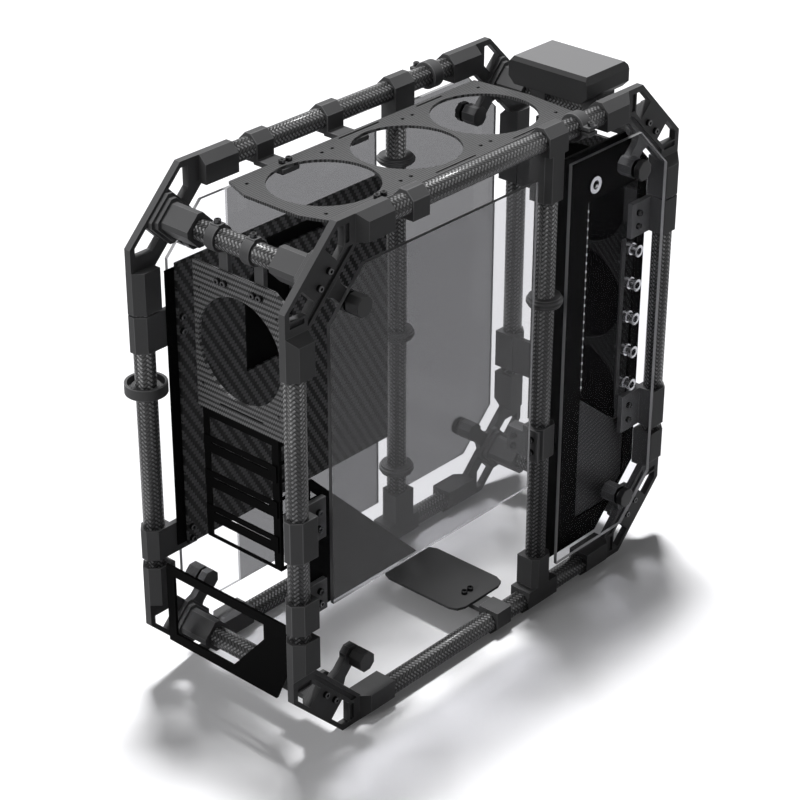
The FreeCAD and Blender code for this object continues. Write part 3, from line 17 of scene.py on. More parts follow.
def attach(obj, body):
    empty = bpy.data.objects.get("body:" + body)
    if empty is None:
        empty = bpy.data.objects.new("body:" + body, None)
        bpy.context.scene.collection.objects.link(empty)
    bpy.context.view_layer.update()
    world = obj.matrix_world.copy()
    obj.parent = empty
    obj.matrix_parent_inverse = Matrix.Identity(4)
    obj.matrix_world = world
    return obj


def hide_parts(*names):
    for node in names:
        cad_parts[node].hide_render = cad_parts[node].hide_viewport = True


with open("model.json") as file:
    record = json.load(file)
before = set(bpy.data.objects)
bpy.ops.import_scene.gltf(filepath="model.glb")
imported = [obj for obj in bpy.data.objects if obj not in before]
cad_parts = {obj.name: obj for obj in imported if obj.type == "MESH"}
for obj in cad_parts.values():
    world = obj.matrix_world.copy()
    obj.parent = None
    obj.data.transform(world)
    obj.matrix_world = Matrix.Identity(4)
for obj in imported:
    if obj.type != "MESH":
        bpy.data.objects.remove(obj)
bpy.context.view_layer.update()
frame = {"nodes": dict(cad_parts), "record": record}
record = frame["record"]
solids = frame["nodes"]
finish_of = {part["node"]: part["material_slot"] for part in record["subparts"]}
body_of = {node: body for body, nodes in record["behaviour"]["bodies"].items() for node in nodes}

# %% [markdown]
# Everything is in metres. The weave on the tubes turns round them, so it needs their axes. The tubes
# of one kind are mirror images of each other, so two numbers in each direction across them place all
# of them: the middle plane between the axes, and how far the axes lie from it. Each row below names
# a material for a node of tubes, says which way they run, and gives those numbers.

# %% Sizes of the cage
MM = 0.001
CAGE = Vector((3.5, 0.0, 285.0)) * MM
TUBE_WIDTH = 22.0 * MM
TUBE_BORE = 18.0 * MM
TUBE_AXES = {
    "long_tubes": ("braid_long", "X", ("Y", CAGE.y, 103.2 * MM), ("Z", CAGE.z, 270.0 * MM)),
    "corner_posts": ("braid_posts", "Z", ("X", CAGE.x, 286.5 * MM), ("Y", CAGE.y, 103.2 * MM)),
    "middle_posts": ("braid_middle", "Z", ("X", 86.0 * MM, 0.0), ("Y", CAGE.y, 103.2 * MM)),
    "cross_tubes": ("braid_cross", "Y", ("X", CAGE.x, 249.5 * MM), ("Z", CAGE.z, 233.0 * MM)),
}
print("cage middle:", tuple(CAGE), "kinds of tube:", len(TUBE_AXES))

# %% [markdown]
# The camera stands where the photographer's did: a long lens, looking down on the rear near corner.
# A camera looks along its own -Z, so its three axes are written down as the columns of its matrix.

# %% Camera
CAMERA_PLACE = Vector((-1.6514, -1.4601, 1.4571))
AZIMUTH, ELEVATION, ROLL = (math.radians(angle) for angle in (-48.142, 28.631, 0.133))
SENSOR_MM, LENS_MM = 36, 106.47
FARTHEST_SEEN = 60


def add_object(name, data):
    """A new object in the scene."""
    item = bpy.data.objects.new(name, data)
    bpy.context.scene.collection.objects.link(item)
    return item


level = math.cos(ELEVATION)
back = Vector((math.sin(AZIMUTH) * level, -math.cos(AZIMUTH) * level, math.sin(ELEVATION)))
right = Vector((0, 0, 1)).cross(back).normalized()
up = back.cross(right)
rolled_right = right * math.cos(ROLL) + up * math.sin(ROLL)
rolled_up = up * math.cos(ROLL) - right * math.sin(ROLL)
camera_data = bpy.data.cameras.new("camera")
camera_data.sensor_width = SENSOR_MM
camera_data.lens = LENS_MM
camera_data.clip_end = FARTHEST_SEEN
camera = add_object("camera", camera_data)
turn = Matrix((rolled_right, rolled_up, back)).transposed().to_4x4()
camera.matrix_world = Matrix.Translation(CAMERA_PLACE) @ turn
bpy.context.scene.camera = camera
print("camera at", tuple(CAMERA_PLACE))

# %% [markdown]
# Materials are node trees, and writing a tree by hand takes three steps for every node: make it,
# set its values, join it to the others. A few small helpers do that in one line each, so the trees
# below read almost like formulas.

# %% Helpers for node trees
FLOAT = "NodeSocketFloat"
VECTOR = "NodeSocketVector"
COOL = 1.02


def add_node(tree, kind, inputs=None, **settings):
    """A node with its settings, and each input either a plain value or a link."""
    node = tree.nodes.new(kind)
    for name, value in settings.items():
        setattr(node, name, value)
    for name, value in (inputs or {}).items():
        if isinstance(value, bpy.types.NodeSocket):
            tree.links.new(value, node.inputs[name])
        else:
            node.inputs[name].default_value = value
    return node


def sums(tree, operation, *values):
    """One step of arithmetic on numbers."""
    node = add_node(tree, "ShaderNodeMath", dict(enumerate(values)), operation=operation)
    return node.outputs[0]


def plus(tree, first, second):
    return sums(tree, "ADD", first, second)


def minus(tree, first, second):
    return sums(tree, "SUBTRACT", first, second)


def times(tree, first, second):
    return sums(tree, "MULTIPLY", first, second)


def eased(tree, value, share):
    """A number from 0 to 1, with only a share of its darkening."""
    return plus(tree, times(tree, value, share), 1 - share)


def ramp(tree, factor, low, high, start=0.0, end=1.0):
    """A number that goes from low to high as the factor goes from start to end."""
    inputs = {"Value": factor, "From Min": start, "From Max": end, "To Min": low, "To Max": high}
    return add_node(tree, "ShaderNodeMapRange", inputs).outputs["Result"]


def axes_of(tree, vector):
    """The three parts of a vector, by the names X, Y and Z."""
    return add_node(tree, "ShaderNodeSeparateXYZ", {"Vector": vector}).outputs


def facing(tree):
    """The three parts of the direction that a surface looks."""
    return axes_of(tree, tree.nodes.new("ShaderNodeNewGeometry").outputs["Normal"])


def grey(level):
    """A grey with a touch of blue."""
    return (level, level, level * COOL, 1.0)


def mix_values(tree, factor, first, second):
    inputs = {0: factor, 2: first, 3: second}
    return add_node(tree, "ShaderNodeMix", inputs, data_type="FLOAT").outputs[0]


def mix_colours(tree, factor, first, second):
    inputs = {0: factor, 6: first, 7: second}
    return add_node(tree, "ShaderNodeMix", inputs, data_type="RGBA").outputs[2]


def mix_greys(tree, factor, dark, light):
    return mix_colours(tree, factor, grey(dark), grey(light))


def mix_shaders(tree, factor, first, second):
    return add_node(tree, "ShaderNodeMixShader", {0: factor, 1: first, 2: second}).outputs["Shader"]


def new_group(name, inputs, outputs):
    """A shader node group, with named sockets and its own input and output nodes."""
    tree = bpy.data.node_groups.new(name, "ShaderNodeTree")
    for label, kind, value in inputs:
        socket = tree.interface.new_socket(label, in_out="INPUT", socket_type=kind)
        if value is not None:
            socket.default_value = value
    for label in outputs:
        tree.interface.new_socket(label, in_out="OUTPUT", socket_type=FLOAT)
    return tree, tree.nodes.new("NodeGroupInput").outputs, tree.nodes.new("NodeGroupOutput").inputs


def use_group(tree, group, inputs):
    return add_node(tree, "ShaderNodeGroup", inputs, node_tree=group).outputs


def new_material(name):
    """A material with a Principled shader, and the place of each point in metres."""
    material = bpy.data.materials.new(name)
    material.use_nodes = True
    tree = material.node_tree
    shader = tree.nodes["Principled BSDF"]
    place = tree.nodes.new("ShaderNodeTexCoord").outputs["Object"]
    return material, tree, shader, place


def bump(tree, shader, height, depth):
    node = add_node(tree, "ShaderNodeBump", {"Height": height, "Distance": depth, "Strength": 1.0})
    tree.links.new(node.outputs["Normal"], shader.inputs["Normal"])


def lacquer(shader, specular, weight, roughness):
    """How much the surface mirrors, and the clear coat that lies on it."""
    shader.inputs["Specular IOR Level"].default_value = specular
    shader.inputs["Coat Weight"].default_value = weight
    shader.inputs["Coat Roughness"].default_value = roughness


print("helpers ready")

# %% [markdown]
# Carbon cloth is a 2/2 twill: every tow, a flat bundle of fibres, passes over two others and then
# under two. Counted in tows, the pattern is a checker of floor(u) - floor(v) in steps of four, so
# one group can draw it from any pair of coordinates, flat on a plate or wound round a tube. It
# gives the height of the tow on top, which of the two directions lies on top, and the fine lines
# of the fibres in it.

# %% The twill group
REPEAT = 4.0
LAST_OVER = 1.5  # of the four phases, 0 and 1 pass over, 2 and 3 under
FIBRE_LINES = 6
twill, given, wanted = new_group(
    "carbon_twill",
    [("Across", FLOAT, 0.0), ("Along", FLOAT, 0.0)],
    ["Height", "Warp", "Fibre"])


def tow_height(inside, travel):
    """The round back of a tow, which also rises and sinks as it passes over and under."""
    across = sums(twill, "SINE", times(twill, inside, math.pi))
    wave = times(twill, sums(twill, "FLOORED_MODULO", travel, REPEAT), math.pi / 2)
    return times(twill, across, eased(twill, sums(twill, "ABSOLUTE", sums(twill, "SINE", wave)), 0.5))


def fibre_lines(inside):
    return sums(twill, "SINE", times(twill, inside, FIBRE_LINES * math.pi))


tow_u, tow_v = (sums(twill, "FLOOR", given[name]) for name in ("Across", "Along"))
in_u, in_v = (sums(twill, "FRACT", given[name]) for name in ("Across", "Along"))
phase = sums(twill, "FLOORED_MODULO", minus(twill, tow_u, tow_v), REPEAT)
warp = sums(twill, "LESS_THAN", phase, LAST_OVER)
height_u = tow_height(in_u, minus(twill, tow_u, given["Along"]))
height_v = tow_height(in_v, minus(twill, given["Across"], tow_v))
fibre = mix_values(twill, warp, fibre_lines(in_v), fibre_lines(in_u))
twill.links.new(mix_values(twill, warp, height_v, height_u), wanted["Height"])
twill.links.new(warp, wanted["Warp"])
twill.links.new(ramp(twill, sums(twill, "ABSOLUTE", fibre), 0.75, 1.0), wanted["Fibre"])
print("group:", twill.name, len(twill.nodes), "nodes")

# %% [markdown]
# Moulded plastic is never quite smooth: the tool leaves a fine grain, and the colour wanders a
# little. This group makes both from two sizes of noise, and puts out the grain's height and shade.

# %% The moulded grain group
FINE_SHARE = 0.4
grain, given, wanted = new_group(
    "moulded_grain",
    [("Place", VECTOR, None), ("Fineness", FLOAT, 2500.0), ("Patches", FLOAT, 18.0)],
    ["Height", "Shade"])


def noise(scale, detail):
    inputs = {"Vector": given["Place"], "Scale": scale, "Detail": detail}
    return add_node(grain, "ShaderNodeTexNoise", inputs).outputs["Fac"]


fine = noise(given["Fineness"], 2.0)
wide = noise(given["Patches"], 4.0)
shade = plus(grain, times(grain, fine, FINE_SHARE), times(grain, wide, 1 - FINE_SHARE))
grain.links.new(fine, wanted["Height"])
grain.links.new(shade, wanted["Shade"])
print("group:", grain.name, len(grain.nodes), "nodes")

# %% [markdown]
# The plates are flat sheets of twill under a thin clear coat. The weave is laid at a different
# angle and scale on each, so one function makes a material from the two directions of a plate,
# the angle of the cloth in degrees and the width of a tow. The twill is real, but its light and
# dark in the grey are painted light: a painted sheen on the crest of each tow, on the tows that
# lie one way and along the fibre lines, and painted shade between the tows.

# %% Carbon plate material
PLATE_RELIEF = 0.12 * MM


def plate_material(name, first, second, angle, tow, dark, light):
    material, tree, shader, place = new_material(name)
    parts = axes_of(tree, place)
    cosine, sine = math.cos(math.radians(angle)) / tow, math.sin(math.radians(angle)) / tow
    across = plus(tree, times(tree, parts[first], cosine), times(tree, parts[second], sine))
    along = minus(tree, times(tree, parts[second], cosine), times(tree, parts[first], sine))
    weave = use_group(tree, twill, {"Across": across, "Along": along})
    # Painted sheen and shade: the grey runs from dark to light with the crest of the tow, the
    # direction on top and the fibre lines.
    painted_sheen = times(tree, eased(tree, weave["Height"], 0.5), weave["Fibre"])
    painted_sheen = times(tree, painted_sheen, eased(tree, weave["Warp"], 0.9))
    tree.links.new(mix_greys(tree, painted_sheen, dark, light), shader.inputs["Base Color"])
    tree.links.new(ramp(tree, weave["Fibre"], 0.6, 0.45), shader.inputs["Roughness"])
    bump(tree, shader, weave["Height"], PLATE_RELIEF)
    lacquer(shader, specular=0.12, weight=0.05, roughness=0.25)
    return material


PLATES = {
    "top_plate": plate_material(
        "carbon_top", "X", "Y", angle=-45, tow=1.1 * MM, dark=0.02, light=0.135),
    "rear_plate": plate_material(
        "carbon_rear", "Y", "Z", angle=-45, tow=2.05 * MM, dark=0.01, light=0.22),
    "tray": plate_material(
        "carbon_tray", "X", "Z", angle=76, tow=3.6 * MM, dark=0.003, light=0.12),
    "front_fan_plate": plate_material(
        "carbon_front", "Y", "Z", angle=0, tow=2.4 * MM, dark=0.006, light=0.05),
    "block_plate": plate_material(
        "carbon_low", "X", "Z", angle=-30, tow=1.8 * MM, dark=0.008, light=0.04),
}
print("plate materials:", len(PLATES))

# %% [markdown]
# The tubes are braided: the same twill, wound round the tube at 45 degrees both ways. The angle
# round the tube and the distance along it take the place of the two flat directions. The distance
# from the middle plane, without its sign, folds the mirror images onto one tube, so a single
# material serves a whole node. As on the plates, the light and dark of the braid in the grey are
# painted sheen and painted shade.

# %% Carbon tube material
BRAIDS = 14
BRAID_PITCH = 4.9 * MM
BRAID_RELIEF = 0.3 * MM
BRAID_DARK, BRAID_SHEEN = 0.002, 0.34
CONTRAST = 1.6


def folded(tree, value, middle, reach):
    """How far a point is from a pair of mirrored axes, along one direction."""
    return minus(tree, sums(tree, "ABSOLUTE", minus(tree, value, middle)), reach)


def tube_material(name, along, first, second):
    material, tree, shader, place = new_material(name)
    parts = axes_of(tree, place)
    a, b = (folded(tree, parts[axis], middle, reach) for axis, middle, reach in (first, second))
    around = times(tree, sums(tree, "ARCTAN2", a, b), BRAIDS / (2 * math.pi))
    length = times(tree, parts[along], 1 / BRAID_PITCH)
    both_ways = {"Across": plus(tree, around, length), "Along": minus(tree, length, around)}
    weave = use_group(tree, twill, both_ways)
    # Painted sheen and shade, as on the plates, made harsher by the contrast power.
    painted_sheen = times(tree, weave["Height"], weave["Fibre"])
    painted_sheen = times(tree, painted_sheen, eased(tree, weave["Warp"], 0.6))
    painted_sheen = sums(tree, "POWER", painted_sheen, CONTRAST)
    tree.links.new(mix_greys(tree, painted_sheen, BRAID_DARK, BRAID_SHEEN), shader.inputs["Base Color"])
    tree.links.new(ramp(tree, weave["Height"], 0.5, 0.3), shader.inputs["Roughness"])
    bump(tree, shader, weave["Height"], BRAID_RELIEF)
    lacquer(shader, specular=0.25, weight=0.12, roughness=0.15)
    return material


TUBES = {node: tube_material(*axes) for node, axes in TUBE_AXES.items()}
print("tube materials:", len(TUBES))

# %% [markdown]
# The moulded parts are black with a dry, matte skin. The rounded edges made below get a second
# material of their own: a glossier skin, as handling polishes them, and a lighter grey, which is
# a painted highlight. The lid of the control box looks straight up at the lamp and shows much
# lighter than its sides, so faces that look up get a lighter grey, which is painted light.

# %% Plastic, paint and metal
GRAIN_RELIEF = 0.02 * MM
PAINT_RELIEF = 0.004 * MM
BRUSHED = 4000.0
UPWARD = 0.9


def grained(tree, skin, level, spread, roughness, wear):
    """A grey and a roughness that wander a little either way with the shade of the skin."""
    colour = mix_greys(tree, skin["Shade"], level * (1 - spread), level * (1 + spread))
    return colour, ramp(tree, skin["Shade"], roughness - wear, roughness + wear)


def plastic_material(name, level, roughness, specular, relief=GRAIN_RELIEF, painted_top_light=None):
    material, tree, shader, place = new_material(name)
    skin = use_group(tree, grain, {"Place": place})
    colour, worn = grained(tree, skin, level, spread=0.25, roughness=roughness, wear=0.08)
    # Painted light: faces that look up get a lighter grey, as if lit by the lamp overhead.
    if painted_top_light is not None:
        upward = sums(tree, "GREATER_THAN", facing(tree)["Z"], UPWARD)
        colour = mix_colours(tree, upward, colour, grey(painted_top_light))
    tree.links.new(colour, shader.inputs["Base Color"])
    tree.links.new(worn, shader.inputs["Roughness"])
    shader.inputs["Specular IOR Level"].default_value = specular
    bump(tree, shader, skin["Height"], relief)
    return material


def metal_material(name, level, roughness):
    material, tree, shader, place = new_material(name)
    skin = use_group(tree, grain, {"Place": place, "Fineness": BRUSHED})
    colour, worn = grained(tree, skin, level, spread=0.15, roughness=roughness, wear=0.05)
    tree.links.new(colour, shader.inputs["Base Color"])
    tree.links.new(worn, shader.inputs["Roughness"])
    shader.inputs["Metallic"].default_value = 1.0
    return material


FINISHES = {
    "frame_plastic": plastic_material("moulded_black", level=0.08, roughness=0.55, specular=0.1),
    "box_plastic": plastic_material("box_black", level=0.04, roughness=0.5, specular=0.1, painted_top_light=0.19),
    "black_plate": plastic_material(
        "painted_black", level=0.002, roughness=0.6, specular=0.02, relief=PAINT_RELIEF),
    "dark_steel": metal_material("screw_steel", level=0.05, roughness=0.2),
    "bright_metal": metal_material("plated_metal", level=0.5, roughness=0.15),
    "button_metal": metal_material("anodised", level=0.25, roughness=0.35),
}
KNOB = plastic_material("knob_black", level=0.03, roughness=0.4, specular=0.15)
SATIN = plastic_material("satin_black", level=0.06, roughness=0.5, specular=0.1)
# Painted highlight: the rounded edges are a lighter grey than the faces. Their glossier skin is the
# polish of handling.
EDGE_SHEEN = plastic_material("moulded_edge_sheen", level=0.12, roughness=0.42, specular=0.25)
print("finishes:", len(FINISHES))

# %% [markdown]
# Glass is a solid slab here, with its real thickness, so light bends in it as it should. Its index
# is lower than that of real glass, so that it mirrors less of the white studio. A lamp's light would
# be lost in it without caustics, so for shadow rays the material turns into a plain grey filter. The
# cut edges of real panes are ground, and light up along their whole length, so faces that look
# along the case or up and down become a matte surface. On the far side only the part in front of a
# given place is tinted, because the rest shows quite clear in the photograph.

# %% Glass and acrylic
TINT_START = CAGE.x - 163.5 * MM
CLEAR_TINT = 0.93
TINT_SPREAD = 0.02
ACROSS = 0.5  # a face looks across a direction when less than this of its normal lies along it


def glass_material(name, tint, shadow, roughness, ior, edge=0.0, clear_before=None):
    material, tree, shader, place = new_material(name)
    skin = use_group(tree, grain, {"Place": place, "Fineness": 60.0, "Patches": 9.0})
    colour = mix_greys(tree, skin["Shade"], tint * (1 - TINT_SPREAD), tint * (1 + TINT_SPREAD))
    if clear_before is not None:
        tinted = sums(tree, "GREATER_THAN", axes_of(tree, place)["X"], clear_before)
        colour = mix_colours(tree, tinted, grey(CLEAR_TINT), colour)
    tree.links.new(colour, shader.inputs["Base Color"])
    shader.inputs["Roughness"].default_value = roughness
    shader.inputs["IOR"].default_value = ior
    shader.inputs["Transmission Weight"].default_value = 1.0
    path = tree.nodes.new("ShaderNodeLightPath").outputs["Is Shadow Ray"]
    clear = add_node(tree, "ShaderNodeBsdfTransparent", {"Color": grey(shadow)})
    surface = mix_shaders(tree, path, shader.outputs["BSDF"], clear.outputs["BSDF"])
    if edge:
        cut = sums(tree, "LESS_THAN", sums(tree, "ABSOLUTE", facing(tree)["Y"]), ACROSS)
        ground = add_node(tree, "ShaderNodeBsdfDiffuse", {"Color": grey(edge)})
        surface = mix_shaders(tree, cut, surface, ground.outputs["BSDF"])
    tree.links.new(surface, tree.nodes["Material Output"].inputs["Surface"])
    return material


PANES = {
    "glass_near_rear": glass_material(
        "near_glass", tint=0.58, shadow=0.8, roughness=0.02, ior=1.22, edge=0.25),
    "glass_near_front": glass_material(
        "near_glass_front", tint=0.85, shadow=0.9, roughness=0.0, ior=1.03, edge=0.35),
    "glass_far_rear": glass_material(
        "far_glass", tint=0.17, shadow=0.5, roughness=0.02, ior=1.15, edge=0.3,
        clear_before=TINT_START),
    "glass_far_front": glass_material(
        "far_glass_front", tint=0.17, shadow=0.5, roughness=0.02, ior=1.15, edge=0.3),
}
FINISHES["clear_acrylic"] = glass_material(
    "clear_acrylic", tint=0.6, shadow=0.9, roughness=0.0, ior=1.03)
print("glass finishes:", len(PANES) + 1)

# %% [markdown]
# Now every solid gets its finish. The drawing office wrote a finish for each node in the record,
# so most of them need only a look-up. Plates, tubes, panes and the bottom plate have their own.

# %% Dress the solids


def dress(item, *materials):
    item.data.materials.clear()
    for material in materials:
        item.data.materials.append(material)


OWN_LOOK = {**PLATES, **TUBES, **PANES, "bottom_plate": SATIN}
for node, item in solids.items():
    dress(item, OWN_LOOK.get(node) or FINISHES[finish_of[node]])
print("dressed:", len(solids))

# %% [markdown]
# A solid from the drawing office has knife edges, and real mouldings never do. Each moulded node
# is copied, its loose triangles are welded and its flat faces made whole again, and a Bevel
# modifier rounds what is sharp. Weighted normals keep the flat faces flat, so only the rounding
# shades smoothly, and it takes the second material: glossier, and a lighter grey that is a
# painted highlight. The copy then stands for the node.

# %% Rounded mouldings
WELD = 0.01 * MM
FLAT_ANGLE = math.radians(1)
SHARP_ANGLE = math.radians(30)
ROUNDING = 0.7 * MM
FACE_WEIGHT = 80


def welded_copy(node):
    """A clean mesh from the loose triangles of a solid."""
    mesh = bpy.data.meshes.new(node + "_rounded")
    work = bmesh.new()
    work.from_mesh(solids[node].data)
    bmesh.ops.remove_doubles(work, verts=work.verts, dist=WELD)
    bmesh.ops.dissolve_limit(work, angle_limit=FLAT_ANGLE, verts=work.verts, edges=work.edges)
    work.to_mesh(mesh)
    work.free()
    return add_object(node + "_rounded", mesh)


def settle(item):
    """The evaluated object as a plain mesh, with its modifiers gone."""
    seen = item.evaluated_get(bpy.context.evaluated_depsgraph_get())
    mesh = bpy.data.meshes.new_from_object(seen)
    item.modifiers.clear()
    item.data = mesh
    return item


def round_edges(node, face, edge):
    item = welded_copy(node)
    dress(item, face, edge)
    for polygon in item.data.polygons:
        polygon.use_smooth = True
    bevel = item.modifiers.new("round", "BEVEL")
    bevel.width = ROUNDING
    bevel.segments = 2
    bevel.limit_method = "ANGLE"
    bevel.angle_limit = SHARP_ANGLE
    bevel.use_clamp_overlap = True
    bevel.material = 1
    weigh = item.modifiers.new("weigh", "WEIGHTED_NORMAL")
    weigh.weight = FACE_WEIGHT
    weigh.keep_sharp = True
    settle(item)
    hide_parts(node)
    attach(item, body_of[node])
    return item


rounded = []
for node in sorted(solids):
    if finish_of[node] == "frame_plastic":
        looks = (KNOB, KNOB) if node == "glass_knobs" else (FINISHES["frame_plastic"], EDGE_SHEEN)
        rounded.append(round_edges(node, *looks))
print("rounded:", len(rounded), "faces:", sum(len(item.data.polygons) for item in rounded))

# %% [markdown]
# The screws are all alike: a socket head with a chamfered rim and a hexagonal key hole. A screw
# from the drawing office is a plain disc, but it says where a screw sits and which way it looks:
# its flat base has more area than its top, where the key hole is missing. To find each screw, the
# faces of a node are sorted into islands, by stepping from every face to its neighbours.

# %% Where the screws sit
BOLT_NODES = [node for node in sorted(solids) if node.endswith("bolts")]
NEAR = 0.1 * MM


def islands(work):
    """The faces of each separate solid in a mesh."""
    found = set()
    groups = []
    for start in work.faces:
        if start in found:
            continue
        found.add(start)
        stack, group = [start], []
        while stack:
            face = stack.pop()
            group.append(face)
            for edge in face.edges:
                for other in edge.link_faces:
                    if other not in found:
                        found.add(other)
                        stack.append(other)
        groups.append(group)
    return groups


def loose_parts(mesh):
    """The corners of each separate solid, and the middle and the area of each of its faces."""
    work = bmesh.new()
    work.from_mesh(mesh)
    bmesh.ops.remove_doubles(work, verts=work.verts, dist=WELD)
    parts = [([corner.co.copy() for face in group for corner in face.verts],
              [(face.calc_center_median(), face.calc_area()) for face in group])
             for group in islands(work)]
    work.free()
    return parts


def box_of(corners):
    """The low and the high corner of the box around some points."""
    low, high = (Vector([end(corner[axis] for corner in corners) for axis in range(3)])
                 for end in (min, max))
    return low, high


def head_spot(corners, faces):
    """The middle of the base of a screw head, and the direction that the head looks."""
    low, high = box_of(corners)
    thin = min(range(3), key=lambda axis: high[axis] - low[axis])
    area_low, area_high = (
        sum(area for centre, area in faces if abs(centre[thin] - end[thin]) < NEAR)
        for end in (low, high))
    base = (low + high) / 2
    base[thin] = low[thin] if area_low > area_high else high[thin]
    look = Vector((0, 0, 0))
    look[thin] = 1.0 if area_low > area_high else -1.0
    return base, look


heads = [head_spot(*part) for node in BOLT_NODES for part in loose_parts(solids[node].data)]
print("screws:", len(heads))

# %% [markdown]
# Those places become the points of a small mesh, and a Geometry Nodes tree puts a copy of one shape
# on each. Screws and tubes both grow that way, so the steps that they share come first: a tree with
# named inputs, a cylinder, a cut, the turn that aims a copy, and the copies themselves.

# %% Helpers for Geometry Nodes
SHAPE = "NodeSocketGeometry"
WHOLE = "NodeSocketInt"
FINISH = "NodeSocketMaterial"


def shape_tree(name, **inputs):
    """A Geometry Nodes tree with named inputs, beside the geometry that goes in and comes out."""
    tree = bpy.data.node_groups.new(name, "GeometryNodeTree")
    for label, kind in {"Geometry": SHAPE, **inputs}.items():
        tree.interface.new_socket(label, in_out="INPUT", socket_type=kind)
    tree.interface.new_socket("Geometry", in_out="OUTPUT", socket_type=SHAPE)
    return tree, tree.nodes.new("NodeGroupInput").outputs, tree.nodes.new("NodeGroupOutput").inputs


def cylinder(tree, sides, radius, depth):
    inputs = {"Vertices": sides, "Radius": radius, "Depth": depth}
    return add_node(tree, "GeometryNodeMeshCylinder", inputs).outputs["Mesh"]


def cut_from(tree, whole, hole):
    cut = add_node(tree, "GeometryNodeMeshBoolean", {"Mesh 1": whole}, operation="DIFFERENCE")
    tree.links.new(hole, cut.inputs["Mesh 2"])
    return cut.outputs["Mesh"]


def kept_value(tree, name, kind):
    """A value that every point brings along."""
    node = add_node(tree, "GeometryNodeInputNamedAttribute", {"Name": name}, data_type=kind)
    return node.outputs["Attribute"]


def aimed(tree):
    """The turn that brings +Z to the direction a point looks."""
    look = {"Vector": kept_value(tree, "look", "FLOAT_VECTOR")}
    return add_node(tree, "FunctionNodeAlignRotationToVector", look, axis="Z").outputs["Rotation"]


def put_copies(tree, given, wanted, shape, **ways):
    """A copy of the shape on every point, turned or stretched in the ways given, with its finish."""
    inputs = {"Points": given["Geometry"], "Instance": shape, **ways}
    placed = add_node(tree, "GeometryNodeInstanceOnPoints", inputs).outputs["Instances"]
    real = add_node(tree, "GeometryNodeRealizeInstances", {"Geometry": placed}).outputs["Geometry"]
    inputs = {"Geometry": real, "Material": given["Finish"]}
    tree.links.new(add_node(tree, "GeometryNodeSetMaterial", inputs).outputs[0], wanted["Geometry"])


def point_object(name, places, looks):
    """An object with a point at each place, which keeps the direction that it looks."""
    mesh = bpy.data.meshes.new(name)
    mesh.from_pydata(places, [], [])
    kept = mesh.attributes.new("look", "FLOAT_VECTOR", "POINT")
    kept.data.foreach_set("vector", [value for look in looks for value in look])
    return add_object(name, mesh)


def grow(item, tree, values):
    """Run a Geometry Nodes tree on an object, with its inputs set by their names."""
    modifier = item.modifiers.new("grow", "NODES")
    modifier.node_group = tree
    for socket in tree.interface.items_tree:
        if socket.item_type == "SOCKET" and socket.in_out == "INPUT" and socket.name in values:
            modifier[socket.identifier] = values[socket.name]
    return settle(item)


print("helpers ready")

# %% [markdown]
# The screw tree has named inputs, so the same tree could serve other screws. The head is a cylinder
# and a low cone in one, less a six-sided prism for the key. Each head is turned a little at random
# about its own axis, as screws are when they are tight.

# %% The screw tree
SCREW_SIDES = 28
KEY_SIDES = 6
RIM_SHARE = 0.86
CHAMFER_SHARE = 0.15
CORNER_OF_KEY = 0.577  # from the middle to a corner, as a share of the width over the flats
HEAD_SIZES = {"Width": 7 * MM, "Height": 4 * MM, "Key": 3 * MM, "Seed": 7}


def screw_tree():
    tree, given, wanted = shape_tree(
        "socket_screws", Width=FLOAT, Height=FLOAT, Key=FLOAT, Seed=WHOLE, Finish=FINISH)

    def lifted(mesh, height):
        shift = add_node(tree, "ShaderNodeCombineXYZ", {"Z": height}).outputs["Vector"]
        inputs = {"Geometry": mesh, "Translation": shift}
        return add_node(tree, "GeometryNodeTransform", inputs).outputs["Geometry"]

    radius = times(tree, given["Width"], 0.5)
    rim = times(tree, radius, RIM_SHARE)
    wall = times(tree, given["Height"], 1 - CHAMFER_SHARE)
    slope = times(tree, given["Height"], CHAMFER_SHARE)
    shaft = cylinder(tree, SCREW_SIDES, radius, wall)
    cone = {"Vertices": SCREW_SIDES, "Radius Bottom": radius, "Radius Top": rim, "Depth": slope}
    cap = add_node(tree, "GeometryNodeMeshCone", cone).outputs["Mesh"]
    key = cylinder(tree, KEY_SIDES, times(tree, given["Key"], CORNER_OF_KEY), given["Height"])
    body = add_node(tree, "GeometryNodeMeshBoolean", operation="UNION")
    tree.links.new(lifted(shaft, times(tree, wall, 0.5)), body.inputs["Mesh 2"])
    tree.links.new(lifted(cap, wall), body.inputs["Mesh 2"])
    head = cut_from(tree, body.outputs["Mesh"], lifted(key, given["Height"]))
    spin = add_node(tree, "FunctionNodeRandomValue", {"Seed": given["Seed"]}, data_type="FLOAT")
    spin.inputs["Max"].default_value = math.pi / 3
    inputs = {"Axis": (0, 0, 1), "Angle": spin.outputs[1]}
    twist = add_node(tree, "FunctionNodeAxisAngleToRotation", inputs).outputs["Rotation"]
    inputs = {"Rotation": aimed(tree), "Rotate By": twist}
    turned = add_node(tree, "FunctionNodeRotateRotation", inputs, rotation_space="LOCAL")
    put_copies(tree, given, wanted, head, Rotation=turned.outputs["Rotation"])
    return tree


screws = point_object("screw_heads", [base for base, look in heads], [look for base, look in heads])
grow(screws, screw_tree(), {**HEAD_SIZES, "Finish": FINISHES["dark_steel"]})
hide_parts(*BOLT_NODES)
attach(screws, "case")
print("screw heads:", len(screws.data.polygons), "faces")

# %% [markdown]
# The tubes are the main shape of the case, and each follows one rule: a round bar with a round bore,
# from one end to the other. The drawing office gives them few sides, so a second tree builds one
# tube of a metre with many sides, and stretches a copy of it along every tube of a node.

# %% The tube tree
TUBE_SIDES = 72
BORE_DEPTH = 1.2  # longer than the bar, so that it cuts right through


